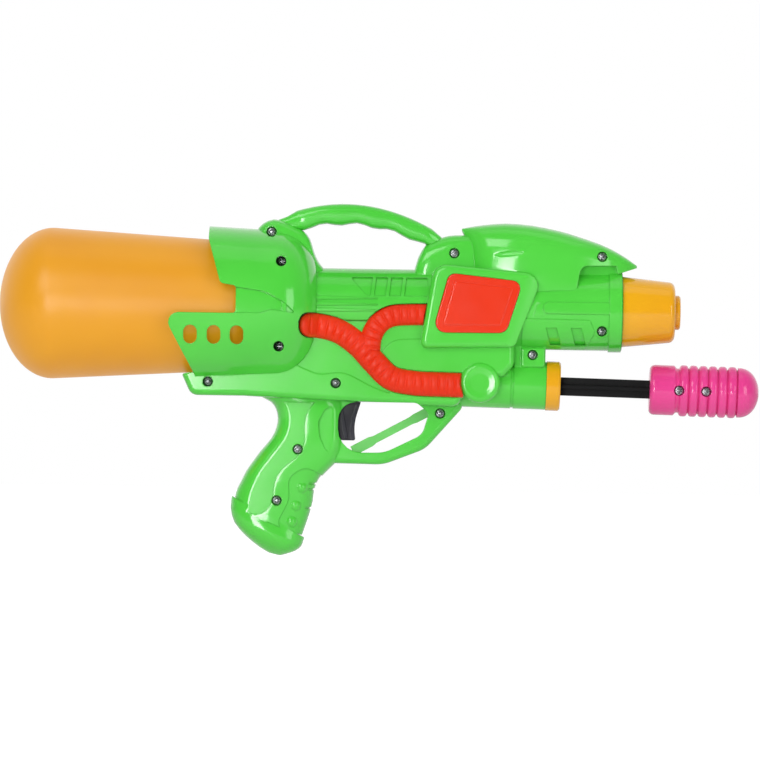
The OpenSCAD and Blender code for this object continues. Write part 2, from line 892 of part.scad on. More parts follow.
function hose_outline(line, r, blunt) =
  let (
    b = hose_bed(line),
    n = len(b) - 1,
    p = concat([b[0] - line_way(b, 0) * gap], [for (i = [1:n]) b[i]])
  )
  concat(
    [for (i = [0:n]) if (i % 3 == 0 || i < round_rings) p[i] + left_of(line_way(p, i)) * pocket_radius(i, r, blunt)],
    [for (i = [n:-1:0]) if (i % 3 == 0 || i < round_rings) p[i] - left_of(line_way(p, i)) * pocket_radius(i, r, blunt)]
  );
module hose_ends(d) {
  bar_y(boss_at[0], boss_at[1], 0, far + 1, boss_r + d);
  plate(rounded(inset(frame_outline, -d)), 0, far + 1);
}
module hose_pocket() {
  difference() {
    union() {
      plate(hose_outline(hose_line, hose_r, true), hose_seat, far);
      plate(hose_outline(branch_line, branch_r, false), hose_seat, far);
    }
    hose_ends(0);
  }
}
tub_outline = [
  [-14, -22, 3],
  [6, -26, 1],
  [6, -1, 1],
  [-14, 0, 3],
];
module hose_tub() {
  intersection() {
    half_turn(cup_profile(0.5));
    plate(rounded(tub_outline), hose_seat - wall, far);
  }
}
module hose_trim() {
  difference() {
    union() {
      hose(hose_line, hose_r, true);
      hose(branch_line, branch_r, false);
    }
    hose_ends(gap);
  }
}

module frame_bevel() {
  translate([bevel_at[0], 0, bevel_at[1]])
    rotate([0, -bevel_lean, 0])
      translate([-14, 0, 0])
        rotate([90, 0, 90])
          linear_extrude(60)
            polygon([[frame_y, 0], [frame_y - bevel_fall, -bevel_w], [far, -bevel_w], [far, 0]]);
}

// Outside and hollow of one half, on the side of +Y
module half_outside() {
  cup();
  half_bar_x(-3, barrel_len, barrel_r);
  half_bar_x(barrel_len - ring_len, barrel_len - 0.4, barrel_r + ring_rise);
  intersection() {
    plate(rounded(strip_outline), 10, far);
    half_bar_x(strip_from - 5, barrel_len - 1, barrel_r + 0.7);
  }
  barrel_raised();
  slab(body_outline, 0, body_y, body_edge);
  slab(keel_outline, 0, body_y, body_edge);
  slab(bridge_outline, 0, body_y, body_edge);
  slab(tab_outline, 0, tab_y, 1);
  plate(rounded(link_outline), 0, 10);
  slab(guard_outline, 0, guard_y, 3.5);
  slab(frame_outline, 0, frame_y, 3);
  difference() {
    pod(grip_sections, grip_power);
    finger_panel();
  }
  pod(boot_sections, grip_power);
  hood();
  pod(rear_ear_sections, 3);
  pod(front_ear_sections, 3);
  on_pump() {
    half_bar_x(cylinder_back + 18, -collar_len, housing_r);
  }
  side_boss();
  for (k = knobs) {
    translate([k[0], k[2] + knob_rise - knob_r, k[1]]) sphere(knob_r);
  }
}
module finger_panel() {
  difference() {
    plate(concat(smooth(panel_line, 3), [[14, -138.6], [14, -101]]), -1, far);
    pod(grip_sections, grip_power, panel_depth);
  }
  difference() {
    for (n = notches) {
      translate([n[0], -1, n[1] - 0.55])
        cube([14, far, 1.1]);
    }
    pod(grip_sections, grip_power, 2 * panel_depth);
  }
}
module surface_steps() {
  plate(concat(smooth(step_line, 4), smooth(crotch_line, 2), [[64, 6], [-16, 6]]), body_y - step_depth, body_y + 0.05);
  plate(rounded(recess_outline), recess_y, grip_y + 1);
  hood_crease();
  plate(concat(smooth(strap_line, 3), [[-56, -111], [-56, -57]]), grip_y - strap_depth, grip_y + 0.05);
  on_pump() {
    half_turn([[housing_r - 0.6, -29.6], [housing_r + 2, -29.6], [housing_r + 2, -28], [housing_r - 0.6, -28]]);
  }
}
grip_inside = [for (k = [0:len(grip_sections) - 2]) grip_sections[k]];
module half_hollow() {
  half_turn(cup_profile(wall));
  half_bar_x(-8, barrel_len - ring_len - 1, bore_r);
  half_bar_x(barrel_len - ring_len - 2, barrel_len + 1, nozzle_rear_r - 0.1);
  half_bar_x(barrel_len - ring_len + 0.8, barrel_len - ring_len + 3.4, barrel_r - 0.8);
  plate(rounded(body_hollow), -1, body_y - wall);
  plate(rounded(keel_hollow), -1, body_y - wall);
  plate(rounded(inset(frame_outline, wall + 1.5)), 0, frame_y - wall - badge_sunk - 0.4);
  pod(grip_inside, grip_power, wall + strap_depth - 0.6, 1);
  on_pump() {
    half_bar_x(cylinder_back - cap_t - 0.8, -collar_len + 1, housing_bore);
  }
}

// Seats inside one half
bulkhead_t = 3;
flange_x = neck_x - 4.5;
flange_t = 3;
flange_r = neck_r + 4;
socket_r = neck_r + 2.6;
function bulkhead(x) = [
  [socket_r + fit, x],
  [cup_radius(x) - wall / 2, x],
  [cup_radius(x + bulkhead_t) - wall / 2, x + bulkhead_t],
  [socket_r + fit, x + bulkhead_t],
];
function seat_ring(x) = [
  [cylinder_r + fit, x],
  [housing_bore + 0.6, x],
  [housing_bore + 0.6, x + 2.5],
  [cylinder_r + fit, x + 2.5],
];
module valve_saddle(x) {
  difference() {
    translate([x, 0, wall / 2 - guard_top])
      cube([2.4, body_y - wall / 2, guard_top - wall / 2 + valve_z]);
    translate([0, 0, valve_z])
      bar_x(x - 1, x + 4, valve_r + fit);
  }
}
module half_seats() {
  half_turn(bulkhead(flange_x - bulkhead_t - fit));
  half_turn(bulkhead(flange_x + flange_t + fit));
  on_pump() {
    half_turn(seat_ring(-24));
    half_turn(seat_ring(cylinder_back + 30));
  }
  valve_saddle(valve_x + 2);
  valve_saddle(valve_x + valve_len - 5);
  hose_tub();
  bar_y(pivot[0], pivot[1], trigger_y + gap, body_y - wall / 2, pin_r + 2);
  for (s = body_screws) {
    bar_y(s[0], s[1], 0, s[2] - 1, post_r);
  }
}
trigger_well = [
  [1, -83],
  [27.5, -80],
  [30, -58],
  [30, -40],
  [14.4, -40],
  [14.4, -52],
  [1, -60],
];
pin_half = 13;
module tank_bay() {
  full_turn(tank_profile(-tank_gap));
}
module half_shell() {
  difference() {
    union() {
      difference() {
        half_outside();
        half_hollow();
      }
      half_seats();
    }
    barrel_marks();
    surface_steps();
    frame_bevel();
    tank_bay();
    plate(rounded(opening_outline), -1, far);
    plate(trigger_well, -1, trigger_y + gap);
    bar_y(pivot[0], pivot[1], -1, pin_half, pin_r + run);
    hose_pocket();
    plate(rounded(inset(badge_outline, -fit)), frame_y - badge_sunk, far);
    handle_pockets();
    brace_form(fit);
    on_pump() {
      bar_x(-collar_len, far, housing_r + 3);
    }
  }
}

function seat_y(s) = s[2] - s[3];

module right_shell() {
  color(green)
    placed()
      difference() {
        mirror([0, 1, 0]) half_shell();
        for (s = body_screws) {
          bar_y(s[0], s[1], -far, -seat_y(s), head_r + head_gap);
          bar_y(s[0], s[1], -far, 1, shank_r + 0.25);
        }
      }
}

module left_shell() {
  color(green)
    placed()
      difference() {
        half_shell();
        for (s = body_screws) {
          bar_y(s[0], s[1], -1, min(screw_reach, s[2] - 2.5) + 0.5, pilot_r);
        }
      }
}

module screw(x, z, seat, tip) {
  bar_y(x, z, -seat, tip, shank_r);
  translate([x, -seat, z])
    rotate([90, 0, 0])
      rotate_extrude()
        polygon(concat([[0, 0], [head_r, 0]], quarter(head_r, 0.5, head_r - 1.4, head_t), [[0, head_t]]));
}

module shell_screws() {
  color(steel)
    placed()
      for (s = body_screws) {
        screw(s[0], s[1], seat_y(s), min(screw_reach, s[2] - 2.5));
      }
}

module carry_handle() {
  color(green)
    placed()
      difference() {
        handle_run(concat(rear_stops, grip_stops, front_stops), 0);
        for (k = [0, 8]) {
          bar_y(body_screws[k][0], body_screws[k][1], -far, far, shank_r + 0.25);
        }
      }
}

module right_hose_trim() {
  color(red)
    placed()
      mirror([0, 1, 0])
        hose_trim();
}

module left_hose_trim() {
  color(red)
    placed()
      hose_trim();
}

module badge() {
  floor_y = frame_y - badge_sunk;
  slab(badge_outline, floor_y, floor_y + badge_t - 0.6, 0.9);
  slab(inset(badge_outline, 4.2), floor_y + 0.5, floor_y + badge_t, 1.2);
}

module right_panel() {
  color(red)
    placed()
      mirror([0, 1, 0])
        badge();
}

module left_panel() {
  color(red)
    placed()
      badge();
}

module guard_brace() {
  color(green)
    placed()
      brace_form(0);
}

// Tank: rear dome, taper, shoulder and neck, grown inwards by d
function tank_radius(x) = tank_r - tank_taper * (x + tank_seat + tank_len - tank_end) / (tank_len - tank_end);
function tank_profile(d) =
  let (
    rear = -tank_seat - tank_len,
    front = -tank_seat,
    edge = tank_radius(front) - d
  )
  concat(
    [for (k = [0:arc_steps * 2]) let (a = 90 * k / arc_steps / 2) [(tank_r - d) * sin(a), rear + tank_end - (tank_end - d) * cos(a)]],
    [for (k = [0:arc_steps]) let (a = 90 * k / arc_steps) [edge - tank_shoulder + d + (tank_shoulder - d) * cos(a), front - tank_shoulder + (tank_shoulder - d) * sin(a)]],
    [[0, front - d]]
  );
module tank() {
  color(orange)
    placed()
      difference() {
        union() {
          full_turn(tank_profile(0));
          bar_x(-tank_seat - 1, neck_x, neck_r);
        }
        full_turn(tank_profile(tank_wall));
        bar_x(-tank_seat - tank_wall - 1, neck_x + 1, neck_r - tank_wall - 0.4);
      }
}

module tank_seal() {
  color(rubber)
    placed()
      difference() {
        bar_x(neck_x, neck_x + seal_t, neck_r - 0.2);
        bar_x(neck_x - 1, neck_x + seal_t + 1, neck_r - 3.4);
      }
}

dip_len = 92;
socket_len = 14;
module barb(x0, x1, y, z) {
  translate([0, y, z]) bar_x(x0, x1, barb_r);
}
module port(x0, x1, y, z) {
  translate([0, y, z]) bar_x(x0, x1, outlet_r);
}
module tank_socket() {
  color(milky)
    placed()
      difference() {
        union() {
          difference() {
            union() {
              bar_x(neck_x - socket_len, socket_front, socket_r);
              bar_x(flange_x, flange_x + flange_t, flange_r);
            }
            bar_x(neck_x - socket_len - 1, socket_floor, neck_r + fit);
            for (k = [1, 2]) {
              bar_y(body_screws[k][0], body_screws[k][1], -far, far, post_r + gap);
            }
          }
          barb(socket_floor - barb_len, socket_front + barb_len, 0, tube_low);
          barb(socket_front - 1, socket_front + barb_len, air_side, tube_low);
        }
        port(socket_floor - barb_len - 1, socket_front + barb_len + 1, 0, tube_low);
        port(socket_floor - 1, socket_front + barb_len + 1, air_side, tube_low);
      }
}

module dip_tube() {
  color(milky)
    placed()
      translate([0, 0, tube_low])
        difference() {
          bar_x(socket_floor - dip_len, socket_floor - fit, tube_r);
          bar_x(socket_floor - dip_len - 1, socket_floor, tube_bore);
        }
}

// Tube that rises at X = x from z0, turns over a bend and runs to x1 at height z1
module bent(x, z0, z1, x1, r) {
  bend = 9;
  way = sign(x1 - x);
  translate([x, 0, z0])
    cylinder(h = z1 - bend - z0, r = r);
  translate([x + way * bend, 0, z1 - bend])
    rotate([90, 0, 0])
      rotate_extrude(angle = 90, start = way > 0 ? 90 : 0)
        translate([bend, 0])
          circle(r);
  translate([0, 0, z1])
    bar_x(min(x + way * bend, x1), max(x + way * bend, x1), r);
}
tube_foot = valve_z + valve_r + 0.5;
module feed_tube() {
  color(milky)
    placed()
      difference() {
        bent(inlet_x, tube_foot, tube_low, socket_front + fit, tube_r);
        bent(inlet_x, tube_foot - 1, tube_low, socket_front - 1, tube_bore);
      }
}

tip_barb = 12;
stem_len = 10;
module outlet_tube() {
  color(milky)
    placed()
      difference() {
        bent(outlet_x, tube_foot, 0, body_len - tip_t - stem_len - fit, tube_r);
        bent(outlet_x, tube_foot - 1, 0, body_len - tip_t - stem_len + 1, tube_bore);
      }
}

// Air tube from the pump's end cap to the socket
cap_barb = cylinder_back - cap_t / 2;
cap_foot = [
  pump_x + cap_barb * cos(pump_droop) + (cylinder_r + 0.6) * sin(pump_droop),
  -pump_drop - cap_barb * sin(pump_droop) + (cylinder_r + 0.6) * cos(pump_droop),
];
air_line = [
  [cap_foot[0], 0, cap_foot[1]],
  [cap_foot[0], 0, cap_foot[1] + 9],
  [cap_foot[0] - 2.5, -2, cap_foot[1] + 17],
  [cap_foot[0] - 12, -6.5, tube_low - 2],
  [cap_foot[0] - 24, air_side, tube_low],
  [socket_front + 20, air_side, tube_low],
  [socket_front + fit, air_side, tube_low],
];
tube_sides = 12;
function tube_ring(p, e, r) =
  let (
    n = unit(cross(e, [0, 1, 0])),
    b = cross(n, e)
  )
  [for (j = [0:tube_sides - 1]) let (a = 360 * j / tube_sides) p + r * (n * cos(a) + b * sin(a))];
module pipe(line, steps, r0, r1) {
  p = smooth(line, steps);
  n = len(p);
  m = tube_sides;
  outer = [for (i = [0:n - 1]) tube_ring(p[i], line_way(p, i), r0)];
  inner = [for (i = [0:n - 1]) tube_ring(p[i], line_way(p, i), r1)];
  skin = facing(outer);
  core = skin == outer ? inner : [for (r = inner) reversed(r)];
  w = n * m;
  sides = [
    for (i = [0:n - 2])
      for (j = [0:m - 1])
        let (a = i * m + j, b = i * m + (j + 1) % m)
        each [[a, a + m, b + m], [a, b + m, b], [w + a, w + b + m, w + a + m], [w + a, w + b, w + b + m]],
  ];
  ends = [
    for (j = [0:m - 1])
      let (a = j, b = (j + 1) % m, t = (n - 1) * m)
      each [[a, b, w + b], [a, w + b, w + a], [t + a, w + t + b, t + b], [t + a, w + t + a, w + t + b]],
  ];
  polyhedron(points = concat([for (r = skin) each r], [for (r = core) each r]), faces = concat(sides, ends), convexity = 8);
}
module air_tube() {
  color(milky)
    placed()
      pipe(air_line, 3, tube_r, tube_bore + 0.12);
}

// Valve: a spool slides in a bored body
module valve_body() {
  color(milky)
    placed()
      translate([0, 0, valve_z])
        difference() {
          union() {
            bar_x(valve_x, valve_x + valve_len, valve_r);
            translate([inlet_x, 0, 0]) cylinder(h = valve_r + 8, r = barb_r);
            translate([outlet_x, 0, 0]) cylinder(h = valve_r + 8, r = barb_r);
          }
          bar_x(valve_x - 1, spring_x + spring_len, valve_bore);
          translate([inlet_x, 0, 0]) cylinder(h = valve_r + 9, r = outlet_r);
          translate([outlet_x, 0, 0]) cylinder(h = valve_r + 9, r = outlet_r);
        }
}

stem_r = 2.2;
gland_len = 3.4;
gland_rim = 0.8;
module valve_gland() {
  color(black)
    placed()
      translate([0, 0, valve_z])
        difference() {
          union() {
            bar_x(valve_x - gland_rim, valve_x, valve_r - 1);
            bar_x(valve_x - 0.5, valve_x + gland_len, valve_bore - 0.03);
          }
          bar_x(valve_x - 2, valve_x + gland_len + 1, stem_r + run);
        }
}

ring_wire = 0.7;
ring_at = land_x + 1.4;
groove_r = valve_bore - 2 * ring_wire - 0.05;
module valve_plunger() {
  color(milky)
    placed()
      translate([0, 0, valve_z])
        difference() {
          union() {
            bar_x(pivot[0] + 0.4 + gap, land_x, stem_r);
            bar_x(valve_x + 4.2, valve_x + 6, valve_bore - run);
            bar_x(land_x, spring_x, valve_bore - run);
          }
          difference() {
            bar_x(ring_at - ring_wire - 0.05, ring_at + ring_wire + 0.05, valve_bore + 1);
            bar_x(land_x - 1, spring_x + 1, groove_r);
          }
        }
}

module o_ring(x, outer, wire) {
  translate([x, 0, 0])
    rotate([0, 90, 0])
      rotate_extrude()
        translate([outer - wire, 0])
          circle(wire);
}
module plunger_ring() {
  color(rubber)
    placed()
      translate([0, 0, valve_z])
        o_ring(ring_at, valve_bore - 0.02, ring_wire);
}

wire_r = 0.25;
coil_r = valve_bore - 1;
coil_sides = 6;
coil_steps = 12;
function coil_point(t, n) = [spring_x + wire_r + 0.05 + (spring_len - 2 * wire_r - 0.1) * t / n, coil_r * sin(360 * t / coil_steps), coil_r * cos(360 * t / coil_steps)];
function coil_ring(t, n) =
  let (
    u = [0, sin(360 * t / coil_steps), cos(360 * t / coil_steps)]
  )
  [for (j = [0:coil_sides - 1]) let (a = 360 * j / coil_sides) coil_point(t, n) + wire_r * (u * cos(a) + [1, 0, 0] * sin(a))];
module valve_spring() {
  n = spring_turns * coil_steps;
  color(steel)
    placed()
      translate([0, 0, valve_z])
        loft([for (t = [0:n]) coil_ring(t, n)]);
}

// Trigger: a blade with a wide finger face, a hub and an upper arm
blade_outline = [
  [24, -79.6, 1.5],
  [22.8, -70, 30],
  [26.8, -57, 3],
  [27, -48, 3],
  [17, -44, 3],
  [13, -58, 4],
  [10, -72, 6],
  [15, -79.6, 3],
];
face_outline = [
  [21.4, -79.6, 0.4],
  [24, -79.6, 1.2],
  [22.8, -70, 30],
  [26.6, -57.6, 0.4],
  [24.2, -57.6, 0.4],
  [20.4, -70, 30],
];
rib_outline = [[14, -60], [16, -60], [19.5, -78.5], [17.5, -78.5]];
module trigger() {
  color(slate)
    placed()
      difference() {
        union() {
          plate(rounded(blade_outline), -1.6, 1.6);
          plate(rounded(face_outline), -trigger_y, trigger_y);
          plate(rib_outline, -3.2, 3.2);
          bar_y(pivot[0], pivot[1], -trigger_y, trigger_y, pin_r + 3);
          bar_y(pivot[0] - nose_r + 0.4, valve_z, -3, 3, nose_r);
          plate([[pivot[0] - 4.6, pivot[1]], [pivot[0] + 3, pivot[1]], [pivot[0] + 0.2, valve_z], [pivot[0] - 4.5, valve_z]], -3, 3);
        }
        bar_y(pivot[0], pivot[1], -far, far, pin_r + run);
      }
}

module trigger_pin() {
  color(steel)
    placed()
      bar_y(pivot[0], pivot[1], 0.3 - pin_half, pin_half - 0.3, pin_r);
}

// Pump
collar_r = housing_r + 0.4;
module pump_collar() {
  color(yellow)
    placed()
      on_pump()
        difference() {
          union() {
            full_turn([[0, -collar_len], [collar_r, -collar_len], [collar_r, -1], [collar_r - 0.9, 0], [0, 0]]);
            bar_x(-collar_len - 6, -collar_len + 1, cylinder_bore - fit);
          }
          bar_x(-collar_len - 7, 1, rod_r + run);
          translate([-1.6, 0, 0]) bar_x(0, 3, rod_r + 3.5);
        }
}

module pump_cylinder() {
  color(milky)
    placed()
      on_pump()
        difference() {
          bar_x(cylinder_back, -collar_len, cylinder_r);
          bar_x(cylinder_back - 1, -collar_len + 1, cylinder_bore);
        }
}

ball_r = 2;
module pump_end_cap() {
  color(milky)
    placed()
      on_pump()
        difference() {
          union() {
            bar_x(cylinder_back - cap_t, cylinder_back, cylinder_r);
            bar_x(cylinder_back - 1, cylinder_back + 1.6, cylinder_bore - fit);
            translate([cap_barb, 0, 0]) cylinder(h = cylinder_r + 8.5, r = barb_r);
          }
          translate([cap_barb, 0, 0]) cylinder(h = cylinder_r + 9.5, r = outlet_r);
          bar_x(cap_barb - ball_r + 0.6, cylinder_back + 3, 1.2);
          translate([cap_barb, 0, 0]) sphere(ball_r + 0.1);
        }
}

module check_ball() {
  color(steel)
    placed()
      on_pump()
        translate([cap_barb, 0, 0])
          sphere(ball_r);
}

rod_stub = 3;
stub_len = 5;
rod_end = pull_back + 42;
flange_at = pull_back + 3;
module pump_rod() {
  color(black)
    placed()
      on_pump()
        difference() {
          union() {
            intersection() {
              bar_x(piston_front, rod_end, rod_r);
              union() {
                translate([piston_front - 1, -rod_web / 2, -rod_r - 1])
                  cube([rod_end - piston_front + 2, rod_web, 2 * rod_r + 2]);
                translate([piston_front - 1, -rod_r - 1, -rod_web / 2])
                  cube([rod_end - piston_front + 2, 2 * rod_r + 2, rod_web]);
              }
            }
            bar_x(piston_front - stub_len + 0.3, piston_front + 3, rod_stub);
            bar_x(piston_front, piston_front + 2, rod_r);
            bar_x(flange_at, flange_at + 2.4, rod_r + 3);
          }
          for (s = pull_screw) {
            bar_y(pull_back + s, 0, -far, far, shank_r + 0.3);
          }
        }
}

piston_wire = 1;
piston_groove = piston_front - piston_len / 2;
module pump_piston() {
  color(milky)
    placed()
      on_pump()
        difference() {
          bar_x(piston_front - piston_len, piston_front, cylinder_bore - run);
          bar_x(piston_front - stub_len, piston_front + 1, rod_stub + 0.05);
          difference() {
            bar_x(piston_groove - piston_wire - 0.05, piston_groove + piston_wire + 0.05, cylinder_bore + 1);
            bar_x(piston_front - piston_len, piston_front, cylinder_bore - 2 * piston_wire - 0.06);
          }
        }
}

module piston_ring() {
  color(rubber)
    placed()
      on_pump()
        o_ring(piston_groove, cylinder_bore - 0.02, piston_wire);
}

// Pump handle: plain sleeve, finger ribs and a domed end
rib_from = 17.6;
rib_points = 8;
rib_top = pull_r + 0.4;
sleeve_round = 3;
pull_dome = pull_len - rib_from - pull_ribs * pull_pitch;
dome_from = rib_from + pull_ribs * pull_pitch;
function pull_profile() =
  concat(
    [[0, 0], [pull_r - sleeve_round, 0]],
    [
      for (k = [1:4])
        let (a = 90 * k / 4)
        [pull_r - sleeve_round + sleeve_round * sin(a), sleeve_round - sleeve_round * cos(a)],
    ],
    [[pull_r, rib_from - 3], [rib_top - pull_groove, rib_from - 1.4]],
    [
      for (k = [0:pull_ribs * rib_points])
        [
          rib_top - pull_groove * pow(abs(1 - 2 * (k % rib_points) / rib_points), 4),
          rib_from + pull_pitch * k / rib_points,
        ],
    ],
    [
      for (k = [0:arc_steps])
        let (a = 90 * k / arc_steps)
        [k == arc_steps ? 0 : (rib_top - 0.5) * cos(a) + 0.6 * sin(2 * a), dome_from + 0.5 + (pull_dome - 0.5) * sin(a)],
    ]
  );
module pull_half() {
  translate([pull_back, 0, 0])
    difference() {
      union() {
        difference() {
          half_turn(pull_profile());
          half_bar_x(3 - fit, 3 + 2.4 + fit, rod_r + 3 + fit);
          half_bar_x(8, dome_from + 1, pull_r - pull_groove - pull_wall);
        }
        for (s = pull_screw) {
          bar_y(s, 0, rod_r + fit, pull_r - 3, 3.4);
        }
      }
      half_bar_x(-1, 9, rod_r + fit);
    }
}
module pump_handle_right() {
  color(pink)
    placed()
      on_pump()
        difference() {
          mirror([0, 1, 0]) pull_half();
          for (s = pull_screw) {
            bar_y(pull_back + s, 0, -far, 3.6 - pull_r, head_r + head_gap);
            bar_y(pull_back + s, 0, -far, 1, shank_r + 0.25);
          }
        }
}
module pump_handle_left() {
  color(pink)
    placed()
      on_pump()
        difference() {
          pull_half();
          for (s = pull_screw) {
            bar_y(pull_back + s, 0, -1, screw_reach + 1, pilot_r);
          }
        }
}
module pump_handle_screws() {
  color(steel)
    placed()
      on_pump()
        for (s = pull_screw) {
          screw(pull_back + s, 0, pull_r - 3.6, screw_reach + 0.5);
        }
}

// Nozzle
spigot_len = ring_len - 0.4;
nozzle_wall = 2;
stem_r0 = 6.9;
function nozzle_profile() =
  concat(
    [[0, -spigot_len], [nozzle_rear_r - 0.25, -spigot_len]],
    [[nozzle_rear_r - 0.25, fit], [nozzle_rear_r, fit]],
    [[nozzle_front_r, nozzle_len - tip_t - 4.2]],
    [for (k = [1:6]) let (a = 15 * k) [nozzle_front_r - 4 + 4 * cos(a), nozzle_len - tip_t - 4 + 4 * sin(a)]],
    [[0, nozzle_len - tip_t]]
  );
function nozzle_inside() = [
  [0, -spigot_len - 1],
  [nozzle_rear_r - 0.25 - nozzle_wall, -spigot_len - 1],
  [nozzle_rear_r - 0.25 - nozzle_wall, 0],
  [nozzle_front_r - nozzle_wall - 1, nozzle_len - tip_t - 5],
  [0, nozzle_len - tip_t - 5],
];
module nozzle_cone() {
  color(yellow)
    placed()
      translate([barrel_len, 0, 0])
        difference() {
          union() {
            full_turn(nozzle_profile());
            bar_x(1 - ring_len + 0.2, 1 - ring_len + 2, barrel_r - 0.8 - 0.2);
          }
          full_turn(nozzle_inside());
          bar_x(0, nozzle_len, stem_r0 + 0.05);
        }
}

module nozzle_tip() {
  color(yellow)
    placed()
      translate([body_len, 0, 0])
        difference() {
          union() {
            full_turn([[0, -tip_t], [tip_r, -tip_t], [tip_r, -0.8], [tip_r - 0.8, 0], [0, 0]]);
            bar_x(-tip_t - stem_len, -tip_t + 0.5, stem_r0);
            bar_x(-tip_t - stem_len - tip_barb, -tip_t, barb_r);
          }
          bar_x(-tip_t - stem_len - tip_barb - 1, 1, outlet_r);
        }
}

right_shell();
left_shell();
shell_screws();
carry_handle();
guard_brace();
right_hose_trim();
left_hose_trim();
right_panel();
left_panel();
tank();
tank_seal();
tank_socket();
dip_tube();
feed_tube();
outlet_tube();
air_tube();
valve_body();
valve_gland();
valve_plunger();
plunger_ring();
valve_spring();
trigger();
trigger_pin();
pump_collar();
pump_cylinder();
pump_end_cap();
check_ball();
pump_rod();
pump_piston();
piston_ring();
pump_handle_right();
pump_handle_left();
pump_handle_screws();
nozzle_cone();
nozzle_tip();
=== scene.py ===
"""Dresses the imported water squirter: moulded skins, ribbed hoses, screws, finishes and a studio."""

import logging
import math
from dataclasses import dataclass, field
from enum import Enum
from functools import reduce
from typing import Any, Sequence

import bpy
import numpy as np
from mathutils import Matrix, Vector


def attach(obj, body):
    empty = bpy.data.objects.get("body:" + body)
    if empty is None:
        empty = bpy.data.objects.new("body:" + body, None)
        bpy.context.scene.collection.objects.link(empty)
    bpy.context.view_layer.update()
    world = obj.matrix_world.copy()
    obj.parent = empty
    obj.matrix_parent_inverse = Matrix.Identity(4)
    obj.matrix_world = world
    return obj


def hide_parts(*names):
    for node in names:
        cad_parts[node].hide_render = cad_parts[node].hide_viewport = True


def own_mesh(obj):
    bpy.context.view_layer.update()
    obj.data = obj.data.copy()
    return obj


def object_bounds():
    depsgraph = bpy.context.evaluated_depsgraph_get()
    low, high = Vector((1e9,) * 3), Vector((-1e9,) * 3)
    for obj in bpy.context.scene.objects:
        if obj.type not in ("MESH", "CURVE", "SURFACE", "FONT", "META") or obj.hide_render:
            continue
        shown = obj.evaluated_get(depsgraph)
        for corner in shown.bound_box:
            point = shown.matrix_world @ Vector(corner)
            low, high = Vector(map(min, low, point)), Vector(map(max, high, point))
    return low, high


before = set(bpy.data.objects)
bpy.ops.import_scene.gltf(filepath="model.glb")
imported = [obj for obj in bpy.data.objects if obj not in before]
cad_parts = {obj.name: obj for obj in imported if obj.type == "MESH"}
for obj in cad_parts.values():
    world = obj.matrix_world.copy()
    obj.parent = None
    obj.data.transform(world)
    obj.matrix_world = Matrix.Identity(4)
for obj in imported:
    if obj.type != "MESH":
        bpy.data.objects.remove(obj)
CAD_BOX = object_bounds()

log = logging.getLogger("squirter")

MM = 0.001  # a millimetre in metres
BODY_LEN = 217.5  # from the zero of the body's own frame to the outlet, in millimetres

WELD = 2e-6  # corners this near each other become one, in the surface's own unit
NORMAL_DIGITS = 3  # digits to which the normals of one flat patch agree
PLANE_STEP = 0.00002  # faces whose planes lie this near each other are one patch, in metres
NO_AREA = 1e-20  # a smaller cross product counts as no area
NO_WEIGHT = 1e-18  # a smaller sum of normals has no direction
SOFT_CREASE = 50.0  # for the waved handles, in degrees

FLOW_GROUP = "mould_flow"
EDGE_SAMPLES = 4  # rays that look for a soft edge
COAT_ROUGHNESS = 0.06
GLOW_RADIUS = (0.02, 0.012, 0.004)  # how far red, green and blue wander inside
GLOW_SCALE = 0.3
WHITE = (1, 1, 1, 1)


class Grain(Enum):
    """Kinds of moulded or worked surface."""

    POLISHED = "polished"
    SATIN = "satin"
    SOFT = "soft"
    METAL = "metal"


@dataclass(frozen=True)
class GrainLook:
    """How one kind of surface scatters light.

    Attributes:
        roughness: middle roughness.
        spread: how far the roughness wanders over the surface.
        depth: depth of the fine grain, in metres.
        scale: grains per metre.
    """

    roughness: float
    spread: float
    depth: float
    scale: float


GRAIN_LOOKS: dict[Grain, GrainLook] = {
    Grain.POLISHED: GrainLook(0.16, 0.05, 0.000006, 420.0),
    Grain.SATIN: GrainLook(0.36, 0.06, 0.00001, 900.0),
    Grain.SOFT: GrainLook(0.62, 0.06, 0.00002, 700.0),
    Grain.METAL: GrainLook(0.3, 0.08, 0.000008, 1500.0),
}


